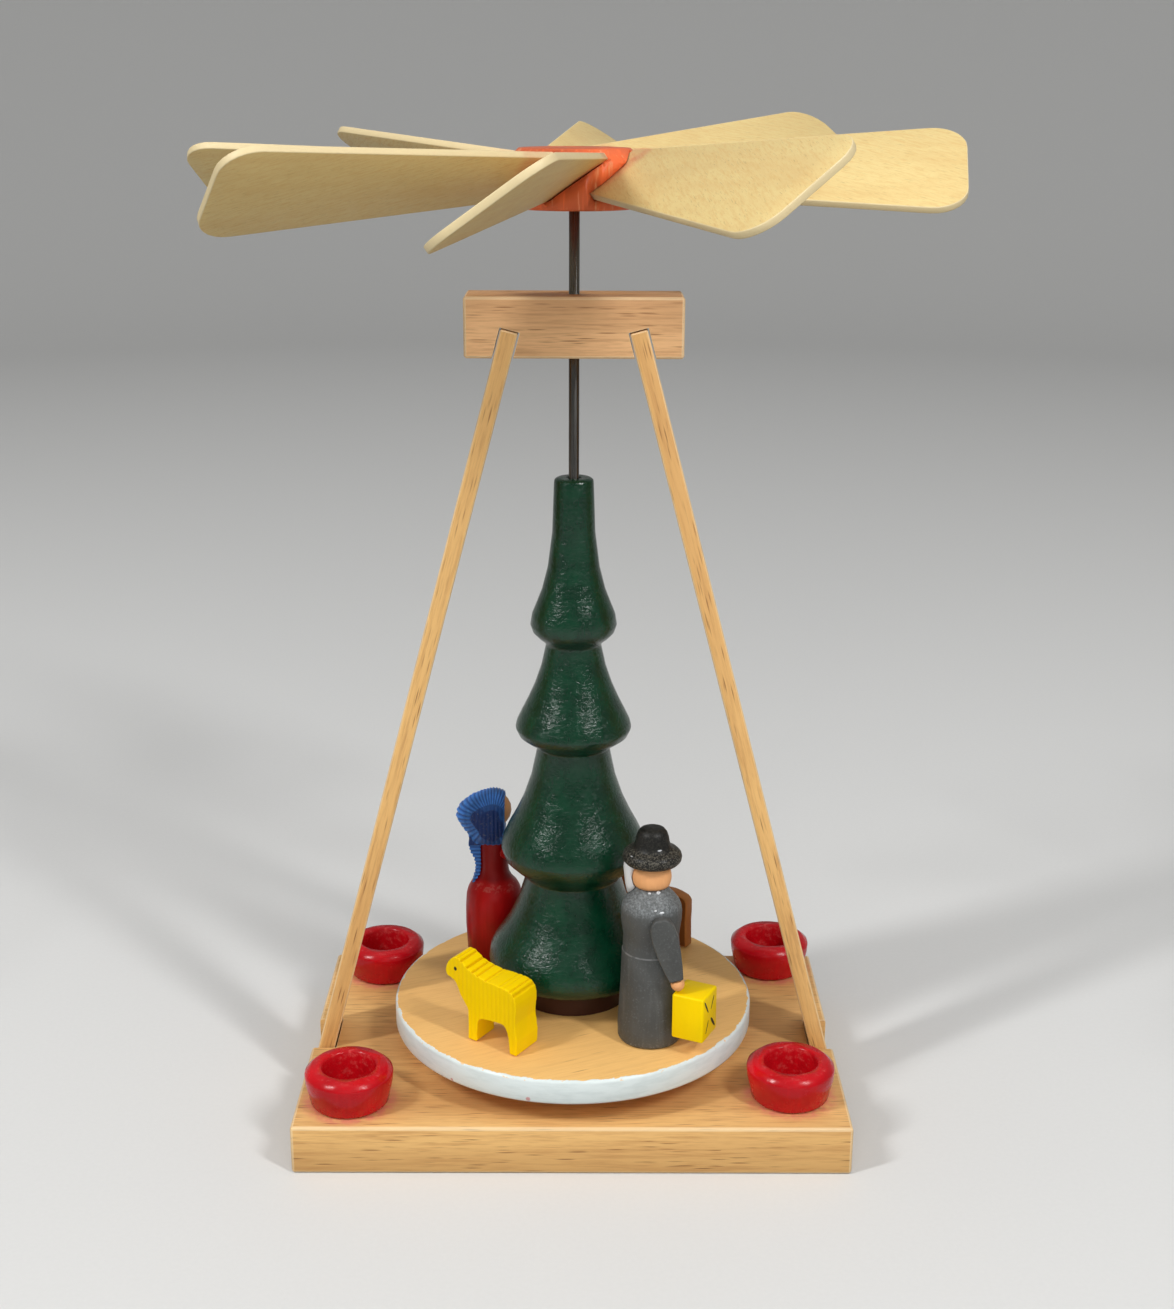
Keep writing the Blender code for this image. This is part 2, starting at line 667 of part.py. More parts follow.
def make_hub_and_blades():
    """The hub is slotted for each blade, at the blade's own pitch."""
    hub_top = hub_underside + hub_height
    hub_bore_top = hub_underside + hub_bore_depth
    hub = turned("hub", [
        (0.0, hub_top), (hub_radius - hub_chamfer, hub_top), (hub_radius, hub_top - hub_chamfer),
        (hub_radius, hub_underside + hub_lower_chamfer), (hub_radius - hub_lower_chamfer, hub_underside),
        (rod_hole, hub_underside), (rod_hole, hub_bore_top), (0.0, hub_bore_top),
    ], facets_hub)
    place(hub, hub_red, rotor_axis)
    for index in range(len(blade_errors)):
        name = f"blade_{index + 1}"
        blade = sawn(name, blade_outline(0.0), blade_thickness)
        place(blade, veneer, rotor_axis, blade_matrix(index))
        slot = sawn(name + "_slot", blade_outline(fit_gap), blade_thickness + 2 * fit_gap)
        slot.matrix_world = blade_matrix(index)
        cut(hub, place_cutter(as_mesh(slot)))


# Figures and animals on the turntable

def ball_profile(radius, below, above=None, rings=steps_ball):
    """A ball with a flat seat below its middle, and a second one above it if given."""
    top = QUARTER_TURN if above is None else math.degrees(math.asin(above / radius))
    bottom = -math.degrees(math.asin(below / radius))
    side = arc((0.0, 0.0), radius, top, bottom, rings)
    if above is None:
        side[0] = (0.0, radius)
    else:
        side.insert(0, (0.0, above))
    return side + [(0.0, -below)]


def ball_cutter(name, centre, radius):
    profile = arc((0.0, 0.0), radius, QUARTER_TURN, -QUARTER_TURN, steps_ball)
    profile[0] = (0.0, radius)
    profile[-1] = (0.0, -radius)
    return place_cutter(turned(name, profile, facets_figure), Matrix.Translation(centre))


def sleeve(name, shoulder, cuff, width, thickness, material, body):
    """A flat lath from the shoulder to the cuff, let into the body."""
    length = (cuff - shoulder).length
    edge = [(along * length, half * width) for along, half in sleeve_shape]
    outline = edge + [(along, -half) for along, half in reversed(edge)]
    piece = as_mesh(sawn(name, outline, thickness))
    soften(piece, sleeve_bevel)
    place(piece, material, rotor_axis, lying(shoulder, cuff))
    cut(piece, body)


def hand(name, shoulder, cuff, radius, body):
    """A ball that sits against the end of a sleeve, clear of the body."""
    direction = (cuff - shoulder).normalized()
    seat = radius * hand_seat
    centre = cuff + direction * (seat + fit_gap)
    obj = turned(name, ball_profile(radius, seat, rings=steps_hand), facets_hand)
    place(obj, skin, rotor_axis, pointing(centre, centre + direction))
    cut(obj, body)


def body_height(shape):
    return shape[0][1] * MM + neck_step


def figure_body(name, shape, spot, material):
    """A turned body, and a cutter that clears it by the fit gap."""
    height = body_height(shape)
    outside = in_mm(shape)
    neck = outside[0][0]
    profile = [(0.0, height), (neck - neck_step, height)] + outside + [(0.0, 0.0)]
    place(turned(name, profile, facets_figure), material, rotor_axis, Matrix.Translation(on_turntable(spot)))
    cutter = turned(name + "_clearance", grown([(neck, height)] + outside, fit_gap), facets_figure)
    return place_cutter(cutter, Matrix.Translation(on_turntable(spot)))


def man_spot():
    return beside_tree(man_azimuth, man_clearance, man_coat_shape)


def make_man():
    spot = man_spot()
    coat = figure_body("man_coat", man_coat_shape, spot, coat_grey)
    below = seat_depth(man_head_radius, man_neck_radius)
    above = seat_depth(man_head_radius, man_crown_radius)
    head_height = body_height(man_coat_shape) + fit_gap + below
    head = turned("man_head", ball_profile(man_head_radius, below, above), facets_figure)
    place(head, skin, rotor_axis, Matrix.Translation(on_turntable(spot, head_height)))

    crown_height = head_height + above
    crown = man_hat_shape[0][1] * MM + man_hat_dome
    hat_profile = [(0.0, crown)] + in_mm(man_hat_shape) + [(man_crown_radius, 0.0), (0.0, 0.0)]
    hat = turned("man_hat", hat_profile, facets_figure)
    place(hat, hat_black, rotor_axis, Matrix.Translation(on_turntable(spot, crown_height + fit_gap)))

    facing = math.radians(man_facing)
    forward = Vector((math.cos(facing), math.sin(facing), 0.0))
    profile = [(man_beard_radius * across, man_beard_length * up) for across, up in man_beard_shape]
    beard = turned("man_beard", [(0.0, man_beard_length)] + profile + [(0.0, 0.0)], facets_small)
    beard_foot = on_turntable(spot, crown_height - man_beard_length) + forward * man_beard_reach
    place(beard, white_paint, rotor_axis, Matrix.Translation(beard_foot))
    cut(beard, ball_cutter("man_head_clearance", on_turntable(spot, head_height), man_head_radius + fit_gap))
    cut(beard, coat)

    # Both arms swing back, and the near one holds the lantern
    out = widest(man_coat_shape) + fit_gap + man_sleeve_thickness / 2 - man_sleeve_let_in
    for side, sign in (("left", -1), ("right", 1)):
        shoulder = on_turntable(spot, man_shoulder_height) + Vector((man_shoulder_forward, sign * out, 0.0))
        cuff = on_turntable(spot, man_cuff_height) + Vector((man_cuff_forward, sign * out, 0.0))
        sleeve("man_arm_" + side, shoulder, cuff, man_sleeve_width, man_sleeve_thickness, coat_grey, coat)
        hand("man_hand_" + side, shoulder, cuff, man_hand_radius, coat)


def make_lantern():
    """A block whose inner side touches the coat."""
    width, depth, height = lantern_size
    near = widest(man_coat_shape) + fit_gap
    lantern = box(
        "lantern",
        (near, lantern_slide - depth / 2, 0.0),
        (near + width, lantern_slide + depth / 2, height),
    )
    soften(lantern, lantern_bevel, 2)
    turn = Matrix.Rotation(math.radians(lantern_turn), 4, "Z")
    place(lantern, yellow, rotor_axis, Matrix.Translation(on_turntable(man_spot(), lantern_lift)) @ turn)


def veil_hood_reach(angle):
    """How far the hood reaches from the ear at an angle, in degrees, smoothly between the given ones."""
    angle %= FULL_TURN
    rows = list(veil_reach) + [(veil_reach[0][0] + FULL_TURN, veil_reach[0][1])]
    for (first, near), (second, far) in zip(rows, rows[1:]):
        if first <= angle <= second:
            share = (angle - first) / (second - first)
            smooth = share * share * (3.0 - 2.0 * share)
            return (near + (far - near) * smooth) * MM
    return rows[-1][1] * MM


def make_veil(dress, spot, head_height):
    """A hood round the head with a fanned back, and a strip down the back."""
    ear = on_turntable(spot, head_height)
    mesh = bpy.data.meshes.new("woman_veil")
    shape = bmesh.new()
    upright = Matrix.Rotation(math.radians(QUARTER_TURN), 4, "X")
    bmesh.ops.create_uvsphere(
        shape, u_segments=steps_hood_round, v_segments=steps_hood_across, radius=1.0, matrix=upright)
    for vertex in shape.verts:
        angle = math.degrees(math.atan2(vertex.co.z, vertex.co.x))
        reach = veil_hood_reach(angle)
        vertex.co = Vector((vertex.co.x * reach, vertex.co.y * veil_half_width, vertex.co.z * reach))
    shape.to_mesh(mesh)
    shape.free()
    veil = bpy.data.objects.new("woman_veil", mesh)

    outline = in_mm([(-behind, -drop) for behind, drop in veil_tail_outer + veil_tail_inner])
    standing = Matrix.Translation(on_turntable(spot, veil_hem_height)) @ upright
    tail = place_cutter(as_mesh(sawn("veil_tail", outline, veil_tail_width)), standing)
    soften(tail, veil_tail_bevel, 2)

    trim = 2 * max(reach for angle, reach in veil_reach) * MM
    below_hem = place_cutter(
        box("veil_below_hem", (-trim, -trim, -trim), (trim, trim, 0.0)),
        Matrix.Translation(on_turntable(spot, veil_hem_height)))
    before_face = place_cutter(
        box("veil_before_face", (veil_front, -trim, -trim), (trim, trim, trim)), Matrix.Translation(ear))
    place(veil, veil_blue, rotor_axis, Matrix.Translation(ear))
    cut(veil, below_hem)
    cut(veil, before_face)
    cut(veil, tail, "UNION")
    cut(veil, dress)
    cut(veil, ball_cutter("woman_head_clearance", ear, woman_head_radius + fit_gap))


def make_woman():
    spot = beside_tree(woman_azimuth, woman_clearance, woman_dress_shape)
    dress = figure_body("woman_dress", woman_dress_shape, spot, dress_red)
    seat = seat_depth(woman_head_radius, woman_neck_radius)
    head_height = body_height(woman_dress_shape) + fit_gap + seat
    head = turned("woman_head", ball_profile(woman_head_radius, seat), facets_figure)
    place(head, skin, rotor_axis, Matrix.Translation(on_turntable(spot, head_height)))
    make_veil(dress, spot, head_height)
    for side, sign in (("left", 1), ("right", -1)):
        shoulder = on_turntable(spot) + Vector(woman_shoulder) * Vector((1.0, sign, 1.0))
        cuff = on_turntable(spot) + Vector(woman_cuff) * Vector((1.0, sign, 1.0))
        sleeve(
            "woman_arm_" + side, shoulder, cuff, woman_sleeve_width, woman_sleeve_thickness,
            dress_red, dress)
        hand("woman_hand_" + side, shoulder, cuff, woman_hand_radius, dress)


def smooth_outline(knots):
    """Points round an outline whose knots are corners or round."""
    places = [Vector(knot[0]) * MM for knot in knots]
    points = []
    for index, (here, kind) in enumerate(zip(places, (knot[1] for knot in knots))):
        before = places[index - 1]
        after = places[(index + 1) % len(places)]
        beyond = places[(index + 2) % len(places)]
        next_kind = knots[(index + 1) % len(knots)][1]
        leave = after - before if kind == "round" else Vector((0.0, 0.0))
        arrive = beyond - here if next_kind == "round" else Vector((0.0, 0.0))
        if kind == "corner" and next_kind == "corner":
            points.append(tuple(here))
            continue
        span = (after - here).length / 3
        first = here + leave.normalized() * span if leave.length else here
        second = after - arrive.normalized() * span if arrive.length else after
        curve = interpolate_bezier(here, first, second, after, steps_outline)
        points += [tuple(point) for point in curve[:-1]]
    return points


def make_animal(name, knots, thicknesses, azimuth, inset, facing, material):
    """An animal sawn from a slice that is as thick as given at the rump and at the head, upright."""
    rump, head = thicknesses
    outline = smooth_outline(knots)
    animal = as_mesh(sawn(name, outline, rump))
    back = min(along for along, height in outline)
    front = max(along for along, height in outline)
    for vertex in animal.data.vertices:
        share = (vertex.co.x - back) / (front - back)
        vertex.co.z *= 1.0 + share * (head / rump - 1.0)
    turn = Matrix.Rotation(math.radians(facing), 4, "Z") @ Matrix.Rotation(math.radians(QUARTER_TURN), 4, "X")
    spot = spot_at(azimuth, turntable_radius - inset)
    place(animal, material, rotor_axis, Matrix.Translation(on_turntable(spot)) @ turn)


board = make_frame()
make_bearing(board)
make_candle_cups(board)
make_rod()
make_turntable()
make_tree()
make_hub_and_blades()
make_man()
make_lantern()
make_woman()
make_animal(
    "sheep", sheep_outline, (sheep_rump_thickness, sheep_head_thickness),
    sheep_azimuth, sheep_inset, sheep_facing, yellow)
make_animal("ox", ox_outline, (ox_thickness, ox_thickness), ox_azimuth, ox_inset, ox_facing, ox_brown)
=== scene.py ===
"""The looks of a small candle pyramid of turned and sawn wood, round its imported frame.

Metres, in the frame's own axes: +Z up, the front towards -Y, the rotor's axis on Z.
"""
import json
import math

import bmesh
import bpy
import numpy
from mathutils import Matrix, Vector, noise
from mathutils.bvhtree import BVHTree


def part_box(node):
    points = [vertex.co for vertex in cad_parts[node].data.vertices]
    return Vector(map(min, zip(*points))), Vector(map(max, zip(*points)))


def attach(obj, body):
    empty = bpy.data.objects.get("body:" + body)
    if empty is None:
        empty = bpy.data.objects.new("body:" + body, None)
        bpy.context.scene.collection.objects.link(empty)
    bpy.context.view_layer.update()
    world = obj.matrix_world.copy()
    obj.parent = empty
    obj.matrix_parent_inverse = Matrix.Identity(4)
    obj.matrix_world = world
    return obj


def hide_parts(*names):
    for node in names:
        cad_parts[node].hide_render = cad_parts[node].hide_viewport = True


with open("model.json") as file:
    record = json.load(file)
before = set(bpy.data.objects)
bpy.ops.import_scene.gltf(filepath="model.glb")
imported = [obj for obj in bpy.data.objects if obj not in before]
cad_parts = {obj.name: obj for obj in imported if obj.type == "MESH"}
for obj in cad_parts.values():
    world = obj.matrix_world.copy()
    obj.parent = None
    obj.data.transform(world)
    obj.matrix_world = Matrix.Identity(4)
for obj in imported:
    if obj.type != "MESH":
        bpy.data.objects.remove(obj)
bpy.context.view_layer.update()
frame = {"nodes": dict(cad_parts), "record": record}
nodes = frame["nodes"]
MM = 0.001
UP = Vector((0.0, 0.0, 1.0))

# Camera, at the photograph's place
photo_long_side = 1309
camera_focal = 1833.4           # pixels of the photograph
camera_place = Vector((1.74 * MM, -414.88 * MM, 241.42 * MM))
camera_pitch = math.radians(17.26)
camera_yaw = math.radians(0.20)
camera_roll = math.radians(0.24)
camera_sensor = 36.0
camera_reach = (0.01, 20.0)

# Studio
floor_flat_radius = 1.4
floor_wall_radius = 2.2
floor_wall_height = 1.6
floor_curve_steps = 12
floor_round_steps = 96
world_strength = 0.40
softbox_size = (0.09, 0.32)
fill_size = (0.9, 0.7)
top_size = (1.4, 1.4)
# Name, place, size and watts of each lamp, and whether gloss shows it
lamps = (
    ("left_softbox", (-0.78, -0.46, 0.92), softbox_size, 6.2, True),
    ("right_softbox", (0.60, -0.58, 0.90), softbox_size, 5.2, True),
    ("front_fill", (0.05, -1.10, 0.45), fill_size, 5.6, False),
    ("top_softbox", (-0.10, 0.10, 2.0), top_size, 3.4, True),
)
lamp_target = (0.0, 0.0, 0.11)

# Colours, linear
BEECH_LIGHT = (0.84, 0.51, 0.19)
BEECH_DARK = (0.60, 0.315, 0.11)
BEECH_FLECK = (0.28, 0.12, 0.04)
BEECH_CUT = (0.90, 0.70, 0.42)
CROSSBAR_LIGHT = (0.83, 0.49, 0.235)
CROSSBAR_DARK = (0.55, 0.29, 0.13)
# run-out paint, and the painted red reflection of the cups on the board
PAINT_STAIN_AND_REFLECTION = (0.72, 0.20, 0.15)
VENEER_LIGHT = (0.76, 0.59, 0.255)
VENEER_DARK = (0.68, 0.45, 0.175)
VENEER_CUT = (0.75, 0.62, 0.37)
VENEER_STAIN = (0.60, 0.20, 0.10)
DISC_LIGHT = (0.88, 0.53, 0.185)
DISC_DARK = (0.68, 0.37, 0.12)
RIM_WHITE = (0.74, 0.81, 0.80)
RIM_SHADE = (0.66, 0.73, 0.72)
RIM_SPECK = (0.62, 0.24, 0.24)
CUP_RED = (0.68, 0.005, 0.012)
CUP_WORN = (0.70, 0.11, 0.10)
HUB_RED = (0.80, 0.15, 0.045)
HUB_BARE = (0.80, 0.38, 0.18)
TREE_GREEN = (0.0008, 0.037, 0.0155)
TRUNK_BROWN = (0.050, 0.016, 0.010)
COAT_GREY = (0.090, 0.093, 0.090)
# dust, and the painted sheen on the man's shoulders
COAT_DUST_AND_SHEEN = (0.27, 0.29, 0.30)
COAT_SEAM = (0.22, 0.22, 0.22)
HAT_BLACK = (0.008, 0.008, 0.007)
HAT_DUST = (0.15, 0.138, 0.11)
SKIN = (0.92, 0.45, 0.19)
WHITE = (0.78, 0.79, 0.80)
YELLOW = (0.98, 0.67, 0.0)
YELLOW_DEEP = (0.94, 0.47, 0.0)
DRESS_RED = (0.50, 0.006, 0.007)
# painted shadow over the woman's upper dress
DRESS_SHADE_RED = (0.16, 0.004, 0.004)
DRESS_WORN = (0.50, 0.085, 0.070)
VEIL_BLUE = (0.085, 0.30, 0.88)
# painted shade of the veil's grooves and flat sides
VEIL_SHADE_BLUE = (0.008, 0.022, 0.110)
OX_BROWN = (0.27, 0.085, 0.018)
OX_END_HIGHLIGHT = (0.44, 0.17, 0.045)
STEEL_GREY = (0.17, 0.165, 0.155)
BRASS_YELLOW = (0.70, 0.50, 0.20)
STROKE_BLACK = (0.020, 0.012, 0.008)
GLUE_WHITE = (0.74, 0.76, 0.78)
PAPER_LIGHT = (0.74, 0.74, 0.73)
PAPER_DARK = (0.71, 0.71, 0.70)
PAPER_BOUNCE = (0.28, 0.28, 0.27)   # the floor, for the light that it throws on the object

# Facets round each turned node, and about how many it gets here to look round
turned_facets = {
    "hub": 48, "tree": 36, "tree_trunk": 36, "turntable": 56, "bearing_cup": 16, "shaft": 16,
    "man_coat": 24, "man_head": 24, "man_hat": 24, "woman_dress": 24, "woman_head": 24,
    "candle_cup_front_left": 24, "candle_cup_front_right": 24,
    "candle_cup_back_left": 24, "candle_cup_back_right": 24,
}
fine_facets = 96
finest_facets = 224             # for a node that has over half of fine_facets
least_ring = 0.4 * MM           # nearer to the axis nothing is divided or moved

# Degrees from which an edge is shaded sharp, and how the nodes' meshes are cleaned
turned_crease = 55.0
sawn_crease = 35.0
carved_crease = 180.0
weld_distance = 0.01 * MM
flat_angle = math.radians(0.4)

# Softening of the sawn pieces' edges, and the widest face that counts as an edge
sawn_edges = {
    "base_board": (0.15 * MM, 0.8 * MM), "crossbar": (0.13 * MM, 0.9 * MM),
    "strut_left": (0.05 * MM, 0.4 * MM), "strut_right": (0.05 * MM, 0.4 * MM),
    "man_arm_left": (0.15 * MM, 0.7 * MM), "man_arm_right": (0.15 * MM, 0.7 * MM),
    "woman_arm_left": (0.12 * MM, 0.6 * MM), "woman_arm_right": (0.12 * MM, 0.6 * MM),
    "lantern": (0.20 * MM, 0.9 * MM), "ox": (0.3 * MM, 3.4 * MM),
}
blade_edge = (0.20 * MM, 1.5 * MM)
tree_edge = 0.35 * MM
edge_segments = 2
edge_angle = math.radians(30.0)

# Carved pieces: the size of their skin's faces, and the grooves
carved_skin = 0.16 * MM
carved_smoothing = 0.5
rib_sharpness = 1.6
sheep_facing = math.radians(147.4)
sheep_along = Vector((math.cos(sheep_facing), math.sin(sheep_facing), 0.0))
sheep_side = UP.cross(sheep_along)
sheep_spot = Vector((-12.14 * MM, -28.96 * MM, 0.0))
sheep_belly = 36.5 * MM         # no groove below this height
# How far ahead of the rump foot each groove is, and its depth, in millimetres
sheep_grooves = (
    (15.8, 0.22), (14.7, 0.34), (13.0, 0.42), (11.4, 0.42), (9.9, 0.36), (7.5, 0.30), (6.6, 0.10),
    (3.3, 0.12), (2.0, 0.12), (0.2, 0.28), (-0.9, 0.28),
)
sheep_groove_width = 0.42 * MM
# the grooves' paint is darkened by their depth, as painted shade
sheep_groove_full = 0.34 * MM   # from this depth the paint in it is darkest
sheep_side_pitch = 1.25 * MM
sheep_side_depth = 0.05 * MM
sheep_eye_along = 16.4 * MM
sheep_eye_height = 17.25 * MM
sheep_eye_size = (0.42 * MM, 0.52 * MM, 0.10 * MM)
hood_ribs = 40                  # in a full turn round the ear
hood_rib_depth = 0.30 * MM
hood_side_pitch = 1.05 * MM
hood_side_share = 0.6           # of that depth, on the hood's flat sides
hood_ear_height = 3.98 * MM     # above the foot of the woman's head
hood_ear_above_hem = 8.48 * MM
tail_below_hem = 0.6 * MM       # where the strip down the back starts
tail_behind = 2.0 * MM          # how far its ribs lie behind the middle of the dress
tail_fade = 0.6 * MM
tail_rib_pitch = 1.0 * MM
tail_rib_slant = 0.35

# Strokes on the lantern's outer side: start and end from the middle of the face, and half width,
# in millimetres
lantern_turn = math.radians(-25.8)
lantern_reach = 3.98 * MM
lantern_strokes = (
    ((-3.6, 4.9), (-1.2, 1.2), 0.30), ((2.2, 4.1), (0.5, 1.3), 0.19),
    ((-0.95, -0.95), (-2.5, -3.8), 0.17), ((0.5, -1.0), (3.0, -4.1), 0.42),
)
stroke_rise = 0.05 * MM
stroke_steps = 8
stroke_least = 0.02             # half width of the ends, in millimetres
stroke_taper = 0.45             # share of the width that is lost on the way to the thin end

# Glue left on the figures: what it is on, azimuth, height above the foot, and size in millimetres
glue_specks = (
    ("man_coat", -68.0, 38.45, (0.55, 0.42)), ("man_coat", -100.0, 38.4, (0.35, 0.25)),
    ("man_coat", -71.0, 34.7, (0.62, 0.30)), ("man_coat", -80.0, 33.6, (0.42, 0.26)),
    ("man_coat", -88.0, 32.6, (0.55, 0.28)), ("man_coat", -84.0, 35.2, (0.30, 0.22)),
    ("woman_dress", -42.0, 30.6, (0.36, 0.42)),
)
glue_thickness = 0.22 * MM
drop_unevenness = 0.35
drop_pattern = 1.7              # how often its outline changes
skin_search = 20.0 * MM         # how far off the search for a piece's skin starts

# Where paints change: radii of the candle cups, and heights above each figure's foot
cup_foot_radius = 8.8 * MM
cup_hole_radius = 6.3 * MM
coat_seam = 22.9 * MM
coat_shoulder = 33.6 * MM
hat_brim = 3.6 * MM
dress_ledge = 21.2 * MM

# Degrees between the fibre and a blade's length, or the disc's X
veneer_slant = 24.0
disc_slant = -24.0

# Red paint spots on the white rim: place and size
rim_specks = (
    ((-28.15 * MM, -34.21 * MM, 18.8 * MM), 0.55 * MM),
    ((-10.08 * MM, -43.14 * MM, 19.0 * MM), 0.75 * MM),
)


class Recipe:
    """A Principled material, whose nodes are added by short calls that return sockets."""

    def __init__(self, name, roughness=0.5, metallic=0.0, specular=0.4):
        self.material = bpy.data.materials.new(name)
        self.material.use_nodes = True
        self.tree = self.material.node_tree
        self.shader = self.tree.nodes["Principled BSDF"]
        self.shader.inputs["Roughness"].default_value = roughness
        self.shader.inputs["Metallic"].default_value = metallic
        self.shader.inputs["Specular IOR Level"].default_value = specular
        self.place = self.add("TexCoord").outputs["Object"]

    def add(self, kind, **settings):
        node = self.tree.nodes.new("ShaderNode" + kind)
        for key, value in settings.items():
            setattr(node, key, value)
        return node

    def feed(self, socket, value):
        """Links a socket to another, or sets its plain value."""
        if isinstance(value, bpy.types.NodeSocket):
            self.tree.links.new(value, socket)
        elif socket.type == "RGBA" and len(value) == 3:
            socket.default_value = (*value, 1.0)
        else:
            socket.default_value = value

    def stretched(self, scale, turn=(0.0, 0.0, 0.0), offset=(0.0, 0.0, 0.0)):
        """The object's own coordinates, turned and then times a scale for each axis in 1/m."""
        turned = self.add("Mapping")
        self.feed(turned.inputs["Vector"], self.place)
        turned.inputs["Rotation"].default_value = [math.radians(angle) for angle in turn]
        scaled = self.add("Mapping")
        self.feed(scaled.inputs["Vector"], turned.outputs["Vector"])
        scaled.inputs["Scale"].default_value = scale
        scaled.inputs["Location"].default_value = offset
        return scaled.outputs["Vector"]

    def noise(self, vector, scale=1.0, detail=2.0, roughness=0.5, distortion=0.0):
        node = self.add("TexNoise")
        self.feed(node.inputs["Vector"], vector)
        node.inputs["Scale"].default_value = scale
        node.inputs["Detail"].default_value = detail
        node.inputs["Roughness"].default_value = roughness
        node.inputs["Distortion"].default_value = distortion
        return node.outputs["Fac"]

    def cells(self, vector):
        """Voronoi cells: the distance to the middle, and a random number for each."""
        node = self.add("TexVoronoi")
        self.feed(node.inputs["Vector"], vector)
        node.inputs["Scale"].default_value = 1.0
        return node.outputs["Distance"], self.part(node.outputs["Color"], 0)

    def part(self, vector, index):
        node = self.add("SeparateXYZ")
        self.feed(node.inputs[0], vector)
        return node.outputs[index]

    def axis(self, index):
        return self.part(self.place, index)

    def radius(self, centre=(0.0, 0.0)):
        """The level distance to an upright line."""
        flat = self.add("VectorMath", operation="MULTIPLY")
        self.feed(flat.inputs[0], self.place)
        flat.inputs[1].default_value = (1.0, 1.0, 0.0)
        away = self.add("VectorMath", operation="DISTANCE")
        self.feed(away.inputs[0], flat.outputs[0])
        away.inputs[1].default_value = (centre[0], centre[1], 0.0)
        return away.outputs["Value"]

    def distance(self, centre, uneven):
        """The distance to a point, made uneven by a pattern."""
        away = self.add("VectorMath", operation="DISTANCE")
        self.feed(away.inputs[0], self.place)
        away.inputs[1].default_value = centre
        return self.value("MULTIPLY", away.outputs["Value"], self.between(uneven, 0.2, 0.8, 0.6, 1.5))

    def value(self, operation, first, second=0.0):
        node = self.add("Math", operation=operation)
        self.feed(node.inputs[0], first)
        self.feed(node.inputs[1], second)
        return node.outputs[0]

    def times(self, first, *others):
        for other in others:
            first = self.value("MULTIPLY", first, other)
        return first

    def between(self, factor, low, high, to_low=0.0, to_high=1.0):
        """A smooth step from one level of the factor to another."""
        node = self.add("MapRange", interpolation_type="SMOOTHSTEP")
        self.feed(node.inputs["Value"], factor)
        node.inputs["From Min"].default_value = low
        node.inputs["From Max"].default_value = high
        node.inputs["To Min"].default_value = to_low
        node.inputs["To Max"].default_value = to_high
        return node.outputs["Result"]

    def band(self, factor, middle, half, soft):
        """One within half a width of a level, and nought beyond it."""
        away = self.value("ABSOLUTE", self.value("SUBTRACT", factor, middle))
        return self.between(away, half, half + soft, 1.0, 0.0)

    def mix(self, factor, first, second):
        node = self.add("Mix", data_type="RGBA")
        self.feed(node.inputs[0], factor)
        self.feed(node.inputs[6], first)
        self.feed(node.inputs[7], second)
        return node.outputs[2]

    def attribute(self, name):
        return self.add("Attribute", attribute_name=name).outputs["Fac"]

    def colour(self, value):
        self.feed(self.shader.inputs["Base Color"], value)

    def rough(self, value):
        self.feed(self.shader.inputs["Roughness"], value)

    def relief(self, *layers):
        """Bumps from (height, depth in metres) layers, one on another."""
        normal = None
        for height, depth in layers:
            node = self.add("Bump")
            node.inputs["Strength"].default_value = 1.0
            node.inputs["Distance"].default_value = depth
            self.feed(node.inputs["Height"], height)
            if normal is not None:
                self.feed(node.inputs["Normal"], normal)
            normal = node.outputs["Normal"]
        self.feed(self.shader.inputs["Normal"], normal)


def scaled_colour(colour, factor):
    return tuple(min(1.0, factor * channel) for channel in colour)


def shift(seed):
    """Moves a pattern away from its neighbours'."""
    return (3.7 * seed, 5.3 * seed, 7.1 * seed)


# Materials

def beech_tone(wood, light, dark, seed, flecks, turn=(0.0, 0.0, 0.0), figure=1.0):
    """Beech with its grain along X: soft bands, fine fibre, and thin flecks in a share of its cells."""
    offset = shift(seed)
    bands = wood.noise(wood.stretched((7.0, 60.0, 90.0), turn, offset), detail=2.0, distortion=0.4)
    streaks = wood.noise(wood.stretched((55.0, 1100.0, 1100.0), turn, offset), detail=4.0, roughness=0.7)
    fibre = wood.noise(wood.stretched((170.0, 3000.0, 3000.0), turn, offset), detail=2.0, roughness=0.6)
    patches = wood.noise(wood.stretched((90.0, 420.0, 420.0), turn, offset), detail=2.0)
    distance, chance = wood.cells(wood.stretched((125.0, 1850.0, 1850.0), turn, offset))
    fleck = wood.times(
        wood.between(distance, 0.10, 0.42, 1.0, 0.0), wood.between(chance, 1.0 - flecks, 1.12 - flecks),
        wood.between(patches, 0.38, 0.60))
    tone = wood.mix(wood.between(bands, 0.34, 0.72, 0.0, 0.55 * figure), light, dark)
    tone = wood.mix(wood.between(streaks, 0.44, 0.70, 0.0, 0.80 * figure), tone, dark)
    tone = wood.mix(wood.between(fibre, 0.45, 0.78, 0.0, 0.45), tone, dark)
    tone = wood.mix(wood.times(fleck, 0.78), tone, BEECH_FLECK)
    return tone, fibre, fleck


